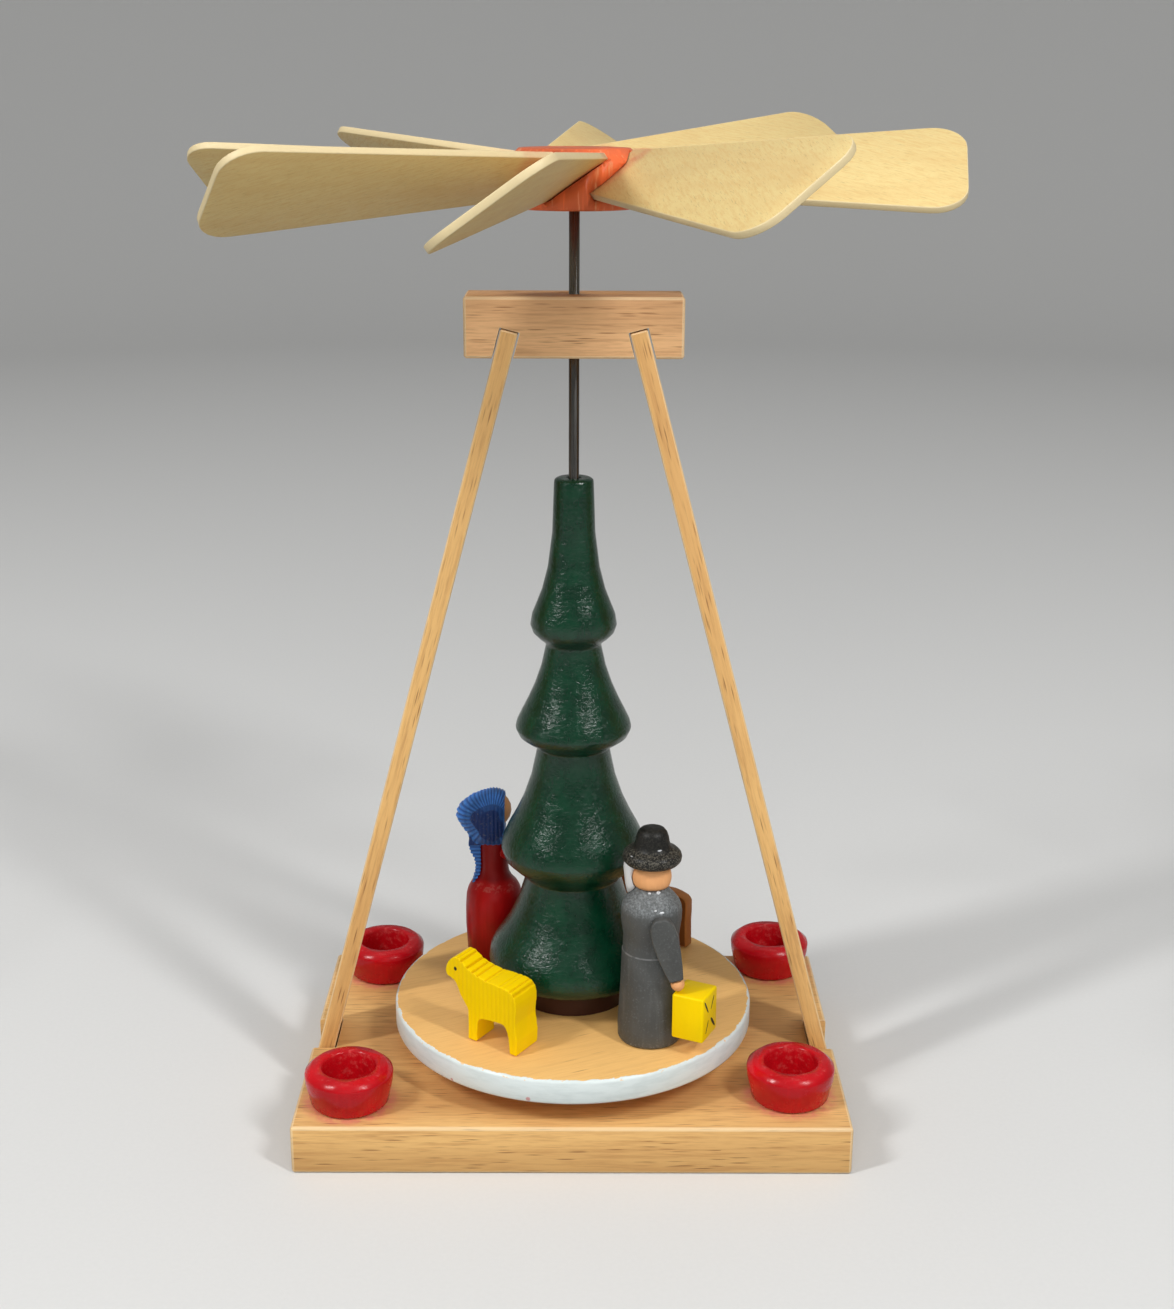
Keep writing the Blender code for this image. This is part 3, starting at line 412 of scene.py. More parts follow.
def make_beech(name, seed, flecks, light=BEECH_LIGHT, dark=BEECH_DARK, stains_and_reflections=(), stain_height=0.0):
    """Plain beech with paler worn edges, and red round painted pieces: run-out paint and a painted
    reflection.
    """
    wood = Recipe(name)
    tone, fibre, fleck = beech_tone(wood, light, dark, seed, flecks)
    tone = wood.mix(wood.times(wood.attribute("edge"), 0.55), tone, BEECH_CUT)
    blotch = wood.noise(wood.place, scale=420.0, detail=3.0, roughness=0.6)
    # Round each cup's foot: a paint stain, and beyond it a painted reflection of the cup's red.
    for centre, foot in stains_and_reflections:
        ring = wood.between(wood.radius(centre), foot + 0.4 * MM, foot + 3.6 * MM, 1.0, 0.0)
        upper = wood.between(wood.axis(2), stain_height - 0.4 * MM, stain_height - 0.1 * MM)
        spread = wood.between(blotch, 0.34, 0.60, 0.15, 0.75)
        tone = wood.mix(wood.times(ring, upper, spread), tone, PAINT_STAIN_AND_REFLECTION)
    wood.colour(tone)
    wood.rough(wood.between(fibre, 0.3, 0.8, 0.46, 0.64))
    wood.relief((fleck, -0.04 * MM), (fibre, 0.02 * MM))
    return wood.material


def make_turntable_wood(radius, top):
    """Pale fine wood on the faces, and a white rim whose paint runs over the upper edge."""
    wood = Recipe("turntable_wood")
    tone, fibre, fleck = beech_tone(
        wood, DISC_LIGHT, DISC_DARK, seed=4, flecks=0.10, turn=(0.0, 0.0, disc_slant), figure=0.45)
    ragged = wood.noise(wood.place, scale=210.0, detail=4.0, roughness=0.7)
    chips = wood.noise(wood.place, scale=900.0, detail=2.0)
    edge = wood.value("ADD", wood.radius(), wood.between(ragged, 0.35, 0.70, -0.25 * MM, 0.30 * MM))
    white = wood.between(edge, radius - 0.72 * MM, radius - 0.60 * MM)
    mottle = wood.noise(wood.stretched((160.0, 160.0, 700.0)), detail=3.0, roughness=0.6)
    rim = wood.mix(wood.between(mottle, 0.40, 0.72), RIM_WHITE, RIM_SHADE)
    for place, size in rim_specks:
        speck = wood.between(wood.distance(place, ragged), 0.5 * size, size, 0.85, 0.0)
        rim = wood.mix(speck, rim, RIM_SPECK)
    upper = wood.band(wood.axis(2), top - 0.35 * MM, 0.20 * MM, 0.15 * MM)
    rim = wood.mix(wood.times(upper, wood.between(chips, 0.64, 0.70), 0.7), rim, DISC_LIGHT)
    wood.colour(wood.mix(white, tone, rim))
    bare_sheen = wood.between(fibre, 0.3, 0.8, 0.42, 0.58)
    rim_sheen = wood.between(mottle, 0.3, 0.7, 0.30, 0.46)
    wood.rough(wood.mix(white, bare_sheen, rim_sheen))
    wood.relief((wood.times(white, mottle), 0.02 * MM), (fibre, 0.015 * MM), (fleck, -0.02 * MM))
    return wood.material


def make_veneer(name, seed, hub_radius):
    """Pale blade wood with its grain along X, bright cut edges and a red stain at the hub."""
    wood = Recipe(name)
    offset = shift(seed)
    turn = (0.0, 0.0, veneer_slant)
    bands = wood.noise(wood.stretched((14.0, 150.0, 60.0), offset=offset), detail=3.0, distortion=0.9)
    fibre = wood.noise(wood.stretched((260.0, 1900.0, 900.0), turn, offset), detail=4.0, roughness=0.7)
    cloud = wood.noise(wood.stretched((60.0, 90.0, 90.0), offset=offset), detail=4.0, roughness=0.6)
    grit = wood.noise(wood.stretched((900.0, 1300.0, 900.0), offset=offset), detail=3.0, roughness=0.7)
    pores = wood.noise(wood.stretched((500.0, 5200.0, 2000.0), turn, offset), detail=1.0)
    tone = wood.mix(wood.between(bands, 0.40, 0.80, 0.0, 0.50), VENEER_LIGHT, VENEER_DARK)
    tone = wood.mix(wood.between(fibre, 0.42, 0.72, 0.0, 0.75), tone, VENEER_DARK)
    tone = wood.mix(wood.between(cloud, 0.48, 0.75, 0.0, 0.35), tone, scaled_colour(VENEER_DARK, 0.92))
    tone = wood.mix(wood.between(grit, 0.50, 0.70, 0.0, 0.35), tone, VENEER_DARK)
    tone = wood.mix(wood.between(pores, 0.64, 0.74, 0.0, 0.45), tone, scaled_colour(VENEER_DARK, 0.55))
    tone = wood.mix(wood.times(wood.attribute("edge"), 0.85), tone, VENEER_CUT)
    stain = wood.between(wood.axis(0), hub_radius, hub_radius + 4.0 * MM, 0.75, 0.0)
    tone = wood.mix(wood.times(stain, wood.between(cloud, 0.35, 0.65)), tone, VENEER_STAIN)
    wood.colour(tone)
    wood.rough(wood.between(fibre, 0.3, 0.8, 0.42, 0.60))
    wood.relief((fibre, 0.03 * MM), (bands, 0.05 * MM))
    return wood.material


class Paint(Recipe):
    """Paint on turned or sawn wood: the fibre along Z shows through, and it lies unevenly."""

    def __init__(self, name, colour, fibre_size=1100.0, mottle_size=260.0, dark=0.62, light=1.22,
                 streak=0.45, specular=0.28):
        super().__init__(name, specular=specular)
        scale = (fibre_size, fibre_size, fibre_size / 16.0)
        self.fibre = self.noise(self.stretched(scale), detail=3.0, roughness=0.6)
        self.mottle = self.noise(self.place, scale=mottle_size, detail=4.0, roughness=0.62)
        broad = self.noise(self.place, scale=mottle_size / 4.0, detail=2.0)
        deep = scaled_colour(colour, dark)
        pale = scaled_colour(colour, light)
        tone = self.mix(self.between(broad, 0.30, 0.72), deep, colour)
        tone = self.mix(self.between(self.fibre, 0.48, 0.85, 0.0, streak), tone, pale)
        self.tone = self.mix(self.between(self.mottle, 0.25, 0.48, 0.6 * streak, 0.0), tone, deep)

    def tint(self, factor, colour):
        self.tone = self.mix(factor, self.tone, colour)

    def done(self, roughness, mottle_depth=0.03 * MM, fibre_depth=0.03 * MM):
        """Sets the colour, the sheen between two roughnesses and the relief."""
        self.colour(self.tone)
        self.rough(self.between(self.mottle, 0.3, 0.7, *roughness))
        self.relief((self.mottle, mottle_depth), (self.fibre, fibre_depth))
        return self.material


def make_tree_paint():
    """Dark green lacquer, wrinkled so that its highlights break up."""
    paint = Paint(
        "tree_paint", TREE_GREEN, fibre_size=1300.0, mottle_size=900.0, light=1.4, streak=0.35,
        specular=0.46)
    wrinkles = paint.stretched((760.0, 760.0, 1250.0))
    crackle = paint.noise(wrinkles, detail=3.0, roughness=0.6, distortion=1.2)
    paint.colour(paint.tone)
    paint.rough(paint.between(paint.mottle, 0.3, 0.7, 0.16, 0.26))
    paint.relief((crackle, 0.16 * MM), (paint.mottle, 0.03 * MM), (paint.fibre, 0.02 * MM))
    return paint.material


def make_cup_paint(foot, rim):
    """Deep glossy red, rubbed pale inside the hole and a little at the rim."""
    paint = Paint("cup_paint", CUP_RED, fibre_size=700.0, mottle_size=300.0, light=1.12, streak=0.3)
    inside = paint.between(
        paint.radius(), cup_hole_radius - 0.1 * MM, cup_hole_radius + 0.5 * MM, 1.0, 0.0)
    rubbed = paint.noise(paint.place, scale=520.0, detail=4.0, roughness=0.7)
    paint.tint(paint.times(inside, paint.between(rubbed, 0.50, 0.70, 0.0, 0.45)), CUP_WORN)
    lip = paint.between(paint.axis(2), rim - 0.35 * MM, rim - 0.05 * MM)
    paint.tint(paint.times(lip, paint.between(rubbed, 0.56, 0.70, 0.0, 0.4)), CUP_WORN)
    foot_edge = paint.between(paint.axis(2), foot, foot + 0.7 * MM, 1.0, 0.0)
    paint.tint(paint.times(foot_edge, paint.between(rubbed, 0.50, 0.66, 0.0, 0.3)), PAINT_STAIN_AND_REFLECTION)
    return paint.done((0.16, 0.30), mottle_depth=0.07 * MM, fibre_depth=0.03 * MM)


def make_hub_paint():
    """Thin orange-red paint with the wood's streaks and bare spots."""
    paint = Paint(
        "hub_paint", HUB_RED, fibre_size=900.0, mottle_size=300.0, dark=0.55, light=1.3, streak=0.7)
    bare = paint.noise(paint.stretched((800.0, 800.0, 110.0)), detail=3.0, roughness=0.6)
    paint.tint(paint.between(bare, 0.56, 0.70, 0.0, 0.55), HUB_BARE)
    return paint.done((0.34, 0.52), mottle_depth=0.03 * MM, fibre_depth=0.06 * MM)


def make_coat_paint(name, foot=None):
    """Cool grey, and over a given foot dusty at the shoulders with a painted sheen there, and paler along
    the waist seam.
    """
    paint = Paint(name, COAT_GREY, fibre_size=800.0, mottle_size=420.0, dark=0.72, light=1.5, streak=0.5)
    grit = paint.noise(paint.place, scale=1900.0, detail=3.0, roughness=0.7)
    paint.tint(paint.between(grit, 0.54, 0.72, 0.0, 0.35), scaled_colour(COAT_DUST_AND_SHEEN, 0.7))
    if foot is not None:
        shoulder = foot + coat_shoulder
        # A lighter band all round the shoulders: dust, and a painted sheen.
        upper = paint.between(paint.axis(2), shoulder - 1.0 * MM, shoulder + 1.2 * MM)
        paint.tint(paint.times(upper, paint.between(grit, 0.38, 0.68, 0.15, 0.75)), COAT_DUST_AND_SHEEN)
        line = paint.band(paint.axis(2), foot + coat_seam, 0.10 * MM, 0.12 * MM)
        paint.tint(paint.times(line, paint.between(paint.mottle, 0.35, 0.55, 0.2, 0.8)), COAT_SEAM)
        worn_foot = paint.between(paint.axis(2), foot, foot + 1.6 * MM, 1.0, 0.0)
        paint.tint(paint.times(worn_foot, paint.between(grit, 0.50, 0.66, 0.0, 0.7)), COAT_DUST_AND_SHEEN)
    return paint.done((0.42, 0.60), mottle_depth=0.04 * MM, fibre_depth=0.03 * MM)


def make_hat_paint(brim_top):
    """Matt black, with grey-brown dust on the brim and a few pale specks."""
    paint = Paint("hat_paint", HAT_BLACK, fibre_size=900.0, mottle_size=600.0, streak=0.5)
    grit = paint.noise(paint.place, scale=2300.0, detail=3.0, roughness=0.7)
    brim = paint.between(paint.axis(2), brim_top, brim_top + 0.8 * MM, 0.85, 0.14)
    paint.tint(paint.times(brim, paint.between(grit, 0.44, 0.68)), HAT_DUST)
    distance, chance = paint.cells(paint.stretched((300.0, 300.0, 900.0)))
    speck = paint.times(paint.between(distance, 0.10, 0.20, 1.0, 0.0), paint.between(chance, 0.88, 0.90))
    paint.tint(paint.times(speck, 0.7), GLUE_WHITE)
    return paint.done((0.36, 0.56), mottle_depth=0.06 * MM, fibre_depth=0.05 * MM)


def make_plain_paint(name, colour, roughness, **settings):
    return Paint(name, colour, **settings).done(roughness)


def make_yellow_paint():
    """Yellow, warmer where it lies thick, paler on edges, and darkened in grooves as painted shade."""
    paint = Paint(
        "yellow_paint", YELLOW, fibre_size=700.0, mottle_size=240.0, dark=0.90, light=1.08, streak=0.5,
        specular=0.12)
    paint.tint(paint.between(paint.fibre, 0.50, 0.80, 0.0, 0.30), YELLOW_DEEP)
    paint.tint(paint.times(paint.attribute("edge"), 0.5), scaled_colour(YELLOW, 1.06))
    # Painted shade in the grooves.
    paint.tint(paint.times(paint.attribute("groove"), 0.65), scaled_colour(YELLOW_DEEP, 0.72))
    return paint.done((0.34, 0.50), mottle_depth=0.03 * MM, fibre_depth=0.05 * MM)


def make_dress_paint(name, ledge=None):
    """Red, darkened above a given ledge by a painted shadow, with a rubbed pink line along it."""
    paint = Paint(name, DRESS_RED, fibre_size=700.0, mottle_size=300.0, dark=0.60, light=1.25, streak=0.6)
    if ledge is not None:
        # Painted shadow over the dress above the ledge.
        above = paint.between(paint.axis(2), ledge, ledge + 1.6 * MM, 0.0, 0.75)
        paint.tint(above, DRESS_SHADE_RED)
        rubbed = paint.noise(paint.place, scale=700.0, detail=3.0, roughness=0.7)
        edge = paint.band(paint.axis(2), ledge - 0.6 * MM, 0.5 * MM, 0.9 * MM)
        paint.tint(paint.times(edge, paint.between(rubbed, 0.48, 0.66, 0.0, 0.75)), DRESS_WORN)
    return paint.done((0.30, 0.46), mottle_depth=0.04 * MM, fibre_depth=0.04 * MM)


def make_veil_paint():
    """Blue on the ribs; painted shade makes it almost black between them and dark on the hood's sides."""
    paint = Paint(
        "veil_paint", VEIL_BLUE, fibre_size=900.0, mottle_size=500.0, dark=0.55, light=1.5, streak=0.5)
    # Painted shade in the grooves between the ribs.
    paint.tint(paint.times(paint.attribute("groove"), 0.66), VEIL_SHADE_BLUE)
    # Painted shade on the hood's flat sides, and dust on them.
    paint.tint(paint.times(paint.attribute("side"), 0.92), VEIL_SHADE_BLUE)
    grit = paint.noise(paint.place, scale=1700.0, detail=3.0, roughness=0.7)
    dust = paint.times(paint.attribute("side"), paint.between(grit, 0.55, 0.72, 0.0, 0.45))
    paint.tint(dust, scaled_colour(COAT_DUST_AND_SHEEN, 0.8))
    return paint.done((0.36, 0.55), mottle_depth=0.04 * MM, fibre_depth=0.04 * MM)


def make_ox_paint():
    """Brown, with its sawn ends and edges lighter as a painted highlight."""
    paint = Paint(
        "ox_paint", OX_BROWN, fibre_size=600.0, mottle_size=260.0, dark=0.6, light=1.4, streak=0.6)
    # Painted highlight on the narrow faces.
    paint.tint(paint.times(paint.attribute("edge"), 0.8), OX_END_HIGHLIGHT)
    return paint.done((0.38, 0.55), mottle_depth=0.03 * MM, fibre_depth=0.05 * MM)


def make_metal(name, colour, roughness):
    """Drawn metal with fine marks along its length and a little soil."""
    metal = Recipe(name, metallic=1.0)
    marks = metal.noise(metal.stretched((3000.0, 3000.0, 60.0)), detail=2.0)
    soil = metal.noise(metal.place, scale=120.0, detail=3.0)
    soiled = metal.between(soil, 0.45, 0.75, 0.0, 0.5)
    metal.colour(metal.mix(soiled, colour, scaled_colour(colour, 0.55)))
    metal.rough(metal.between(marks, 0.3, 0.7, roughness - 0.08, roughness + 0.10))
    metal.relief((marks, 0.01 * MM))
    return metal.material


# Geometry

def welded(node):
    """A node's shape with its split corners joined and its flat faces whole."""
    shape = bmesh.new()
    shape.from_mesh(nodes[node].data)
    bmesh.ops.remove_doubles(shape, verts=shape.verts, dist=weld_distance)
    bmesh.ops.dissolve_limit(shape, angle_limit=flat_angle, verts=shape.verts, edges=shape.edges)
    return shape


def middle_of(node):
    low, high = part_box(node)
    return (Vector(low) + Vector(high)) / 2


def radius_of(node):
    low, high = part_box(node)
    return (high[0] - low[0]) / 2


def lowest(node):
    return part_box(node)[0][2]


def highest(node):
    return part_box(node)[1][2]


def rounded(shape, centre, facets):
    """Divides a turned piece's facets and moves the new corners out to the circle."""
    step = math.tau / facets
    wanted = finest_facets if facets > fine_facets / 2 else fine_facets
    cuts = max(1, round(wanted / facets) - 1)

    def ring_edge(edge):
        first, second = (vertex.co - centre for vertex in edge.verts)
        level = abs(first.z - second.z) < weld_distance
        even = abs(first.xy.length - second.xy.length) < weld_distance
        return level and even and first.xy.length > least_ring

    ring = [edge for edge in shape.edges if ring_edge(edge)]
    bmesh.ops.subdivide_edges(shape, edges=ring, cuts=cuts, use_grid_fill=True)
    for vertex in shape.verts:
        across = vertex.co.x - centre.x
        back = vertex.co.y - centre.y
        if math.hypot(across, back) < least_ring:
            continue
        off = math.atan2(back, across) % step - step / 2
        grow = math.cos(off) / math.cos(step / 2)
        vertex.co.x = centre.x + across * grow
        vertex.co.y = centre.y + back * grow
    return shape


def softened(shape, width):
    """Rounds the sharp edges of a sawn piece."""
    sharp = [edge for edge in shape.edges if edge.is_manifold and edge.calc_face_angle() > edge_angle]
    bmesh.ops.bevel(
        shape, geom=sharp, offset=width, segments=edge_segments, affect="EDGES", profile=0.5,
        clamp_overlap=True)
    return shape


def mark_edges(mesh, widest):
    """Writes which faces are narrower than the widest edge."""
    values = []
    for polygon in mesh.polygons:
        corners = [mesh.vertices[index].co for index in polygon.vertices]
        outline = sum((corners[index] - corners[index - 1]).length for index in range(len(corners)))
        values.append(1.0 if 2.0 * polygon.area / outline < widest else 0.0)
    mesh.attributes.new("edge", "FLOAT", "FACE").data.foreach_set("value", values)


def grain_frame(shape, towards, origin):
    """Axes of a sawn piece: X along it in the way given, Z out of its wide face and upwards."""
    places = numpy.array([vertex.co for vertex in shape.verts])
    axes = numpy.linalg.eigh(numpy.cov(places.T))[1]
    along = Vector(axes[:, 2])
    if along.dot(towards) < 0:
        along.negate()
    face = Vector(axes[:, 0])
    if face.dot(UP) < 0:
        face.negate()
    turn = Matrix((along, face.cross(along), face)).transposed().to_4x4()
    middle = Vector(places.mean(axis=0)) - origin
    return Matrix.Translation(origin + middle - along * middle.dot(along)) @ turn


def remeshed(shape, size):
    """The same form under an even skin of small faces."""
    mesh = bpy.data.meshes.new("skin")
    shape.to_mesh(mesh)
    obj = bpy.data.objects.new("skin", mesh)
    bpy.context.scene.collection.objects.link(obj)
    skin = obj.modifiers.new("Remesh", "REMESH")
    skin.mode = "VOXEL"
    skin.voxel_size = size
    bpy.context.view_layer.update()
    graph = bpy.context.evaluated_depsgraph_get()
    fine = bpy.data.meshes.new_from_object(obj.evaluated_get(graph))
    shape.clear()
    shape.from_mesh(fine)
    bpy.data.objects.remove(obj, do_unlink=True)
    bmesh.ops.smooth_vert(
        shape, verts=shape.verts, factor=carved_smoothing, use_axis_x=True, use_axis_y=True,
        use_axis_z=True)
    return shape


def carved(shape, rule):
    """Sinks each point by the rule's depth, and keeps its share of groove and of side."""
    groove = shape.verts.layers.float.new("groove")
    side = shape.verts.layers.float.new("side")
    shape.normal_update()
    moves = []
    for vertex in shape.verts:
        depth, deepest, aside = rule(vertex.co, vertex.normal)
        vertex[groove] = min(1.0, depth / deepest)
        vertex[side] = aside
        moves.append(vertex.co - vertex.normal * depth)
    for vertex, place in zip(shape.verts, moves):
        vertex.co = place
    return shape


def step_up(value, low, high):
    """A smooth step from nought to one between two levels."""
    share = min(1.0, max(0.0, (value - low) / (high - low)))
    return share * share * (3.0 - 2.0 * share)


def rib(phase):
    """The depth as a share, for a phase in turns: narrow grooves between broad ribs."""
    return (0.5 - 0.5 * math.cos(math.tau * phase)) ** rib_sharpness


def sheep_rule(place, normal):
    """Grooves across the back, and faint upright ridges on the sides."""
    along = (place - sheep_spot).dot(sheep_along)
    upward = step_up(normal.z, 0.15, 0.5) if place.z > sheep_belly else 0.0
    depth = 0.0
    for groove, sunk in sheep_grooves:
        away = abs(along - groove * MM) / sheep_groove_width
        if away < 1.0:
            depth = max(depth, sunk * MM * (0.5 + 0.5 * math.cos(math.pi * away)))
    sideways = step_up(abs(normal.dot(sheep_side)), 0.6, 0.9)
    ridge = rib(along / sheep_side_pitch) * sheep_side_depth * sideways
    return upward * depth + ridge, sheep_groove_full, 0.0


def veil_rule(ear):
    """Ribs that run across the hood and down its sides, and across the strip at the back."""
    hem = ear.z - hood_ear_above_hem
    back = middle_of("woman_dress").x

    def rule(place, normal):
        offset = place - ear
        outer = step_up(normal.dot(offset.normalized()), 0.1, 0.4)
        flank = step_up(abs(normal.y), 0.80, 0.94)
        if place.z < hem - tail_below_hem:
            slanted = place.z + tail_rib_slant * offset.y
            behind = step_up(back - tail_behind - place.x, 0.0, tail_fade)
            return behind * rib(slanted / tail_rib_pitch) * hood_rib_depth, hood_rib_depth, 0.25 * flank
        turn = math.atan2(offset.z, offset.x) / math.tau
        round_rib = rib(turn * hood_ribs) * (1.0 - flank)
        side_rib = rib(offset.x / hood_side_pitch) * flank * hood_side_share
        return outer * (round_rib + side_rib) * hood_rib_depth, hood_rib_depth, flank

    return rule


def body_of_node(node):
    """The record's body that a node belongs to."""
    for body, members in frame["record"]["behaviour"]["bodies"].items():
        if node in members:
            return body
    return "stand"


def made(name, shape, material, matrix, crease):
    """Makes an object from a shape that is in the object's own axes."""
    mesh = bpy.data.meshes.new(name)
    shape.to_mesh(mesh)
    shape.free()
    mesh.materials.append(material)
    mesh.shade_smooth()
    mesh.set_sharp_from_angle(angle=math.radians(crease))
    obj = bpy.data.objects.new(name, mesh)
    bpy.context.scene.collection.objects.link(obj)
    obj.matrix_world = matrix
    return obj


def finished(node, shape, material, matrix=Matrix.Identity(4), crease=sawn_crease, edge_width=None):
    """Makes the piece that stands for a node, in its own axes."""
    bmesh.ops.transform(shape, matrix=matrix.inverted(), verts=shape.verts)
    obj = made(node + "_finished", shape, material, matrix, crease)
    if edge_width is not None:
        mark_edges(obj.data, edge_width)
    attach(obj, body_of_node(node))
    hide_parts(node)


def added(name, shape, material, node, matrix):
    """Makes a small extra piece that rides with a node."""
    obj = made(name, shape, material, matrix, sawn_crease)
    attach(obj, body_of_node(node))


def blob(size, seed):
    """An uneven drop, flat along its local Z."""
    shape = bmesh.new()
    bmesh.ops.create_icosphere(shape, subdivisions=3, radius=1.0)
    for vertex in shape.verts:
        wobble = 1.0 + drop_unevenness * noise.noise(drop_pattern * vertex.co + Vector(shift(seed)))
        vertex.co = Vector([part * wobble * extent for part, extent in zip(vertex.co, size)])
    return shape


def standing_on(node, middle, way):
    """Axes on a node's skin, beyond its middle in a given way, with Z out of it."""
    shape = welded(node)
    skin = BVHTree.FromBMesh(shape)
    shape.free()
    place, normal = skin.ray_cast(middle + way * skin_search, -way)[:2]
    turn = normal.to_track_quat("Z", "Y").to_matrix().to_4x4()
    return Matrix.Translation(place) @ turn


# Pieces

def dress_turned(node, material, matrix=Matrix.Identity(4), edge=None):
    """A turned piece, with its sharp edges softened where a width is given."""
    shape = rounded(welded(node), middle_of(node), turned_facets[node])
    if edge is not None:
        softened(shape, edge)
    finished(node, shape, material, matrix, turned_crease)


def dress_cup(node):
    """A cup in axes whose Z is its own middle line."""
    centre = middle_of(node)
    matrix = Matrix.Translation((centre.x, centre.y, 0.0))
    dress_turned(node, materials["cup_paint"], matrix)


def dress_sawn(node, material, matrix=Matrix.Identity(4)):
    """A sawn piece with softened edges."""
    width, edge_width = sawn_edges[node]
    finished(node, softened(welded(node), width), material, matrix, edge_width=edge_width)


def dress_slanted(node, material, towards):
    """A sawn piece in axes along it."""
    shape = welded(node)
    matrix = grain_frame(shape, towards, middle_of(node))
    shape.free()
    dress_sawn(node, material, matrix)


def dress_blade(node, seed):
    """A blade in axes that start on the rotor's axis, so that its root's stain is at the hub."""
    shape = welded(node)
    centre = middle_of(node)
    hub_middle = Vector((0.0, 0.0, middle_of("hub").z))
    matrix = grain_frame(shape, centre - hub_middle, hub_middle)
    material = make_veneer("blade_veneer_" + node[-1], seed, radius_of("hub"))
    width, edge_width = blade_edge
    finished(node, softened(shape, width), material, matrix, edge_width=edge_width)


def dress_plain(node, material):
    """A hand or beard with the frame's own faces, shaded smooth."""
    finished(node, welded(node), material, crease=turned_crease)


def dress_sheep():
    shape = carved(remeshed(welded("sheep"), carved_skin), sheep_rule)
    finished("sheep", shape, materials["yellow_paint"], crease=carved_crease)
    middle = sheep_spot + sheep_along * sheep_eye_along + UP * (lowest("sheep") + sheep_eye_height)
    for name, way in (("sheep_eye_near", sheep_side), ("sheep_eye_far", -sheep_side)):
        eye = blob(sheep_eye_size, 1)
        added(name, eye, materials["stroke_paint"], "sheep", standing_on("sheep", middle, way))


def dress_veil():
    ear = middle_of("woman_head")
    ear.z = lowest("woman_head") + hood_ear_height
    shape = carved(remeshed(welded("woman_veil"), carved_skin), veil_rule(ear))
    finished("woman_veil", shape, materials["veil_paint"], crease=carved_crease)


def stroke(start, end, half_width):
    """A brush stroke from its blunt start to its thin end, standing a little proud."""
    shape = bmesh.new()
    way = (end - start).normalized()
    across = Vector((-way.y, way.x))
    sides = ([], [])
    for step in range(stroke_steps + 1):
        share = step / stroke_steps
        half = half_width * math.sqrt(share * (1.15 - share)) * 2.0 * (1.0 - stroke_taper * share)
        half = max(half, stroke_least)
        middle = start + (end - start) * share
        for sign, side in zip((1.0, -1.0), sides):
            side.append(middle + across * half * sign)
    outline = sides[0] + sides[1][::-1]
    under, over = (
        [shape.verts.new((point.x * MM, point.y * MM, level)) for point in outline]
        for level in (-stroke_rise, stroke_rise))
    shape.faces.new(under)
    shape.faces.new(over)
    for index in range(len(outline)):
        shape.faces.new((under[index - 1], under[index], over[index], over[index - 1]))
    bmesh.ops.recalc_face_normals(shape, faces=shape.faces)
    return shape


def dress_lantern():
    outward = Vector((math.cos(lantern_turn), math.sin(lantern_turn), 0.0))
    level = UP.cross(outward)
    turn = Matrix((level, UP, outward)).transposed().to_4x4()
    face = Matrix.Translation(middle_of("lantern") + outward * lantern_reach) @ turn
    upright = Matrix.Translation(middle_of("lantern")) @ Matrix.Rotation(lantern_turn, 4, "Z")
    dress_sawn("lantern", materials["yellow_paint"], upright)
    for index, (start, end, half_width) in enumerate(lantern_strokes):
        mark = stroke(Vector(start), Vector(end), half_width)
        added(f"lantern_stroke_{index + 1}", mark, materials["stroke_paint"], "lantern", face)


def add_glue():
    """Drops of glue where the figures' parts were joined."""
    for index, (node, azimuth, height, size) in enumerate(glue_specks):
        angle = math.radians(azimuth)
        way = Vector((math.cos(angle), math.sin(angle), 0.0))
        middle = middle_of(node)
        level = Vector((middle.x, middle.y, lowest(node) + height * MM))
        drop = blob((size[0] * MM, size[1] * MM, glue_thickness), index + 2)
        added(f"glue_speck_{index + 1}", drop, materials["glue"], node, standing_on(node, level, way))


# Studio

def make_camera():
    data = bpy.data.cameras.new("camera")
    data.lens = camera_focal / photo_long_side * camera_sensor
    data.sensor_width = camera_sensor
    data.clip_start, data.clip_end = camera_reach
    camera = bpy.data.objects.new("camera", data)
    bpy.context.scene.collection.objects.link(camera)
    forward = Vector((
        math.sin(camera_yaw) * math.cos(camera_pitch), math.cos(camera_yaw) * math.cos(camera_pitch),
        -math.sin(camera_pitch)))
    level = Vector((math.cos(camera_yaw), -math.sin(camera_yaw), 0.0))
    above = level.cross(forward)
    right = level * math.cos(camera_roll) + above * math.sin(camera_roll)
    up = above * math.cos(camera_roll) - level * math.sin(camera_roll)
    turn = Matrix((right, up, -forward)).transposed().to_4x4()
    camera.matrix_world = Matrix.Translation(camera_place) @ turn
    bpy.context.scene.camera = camera


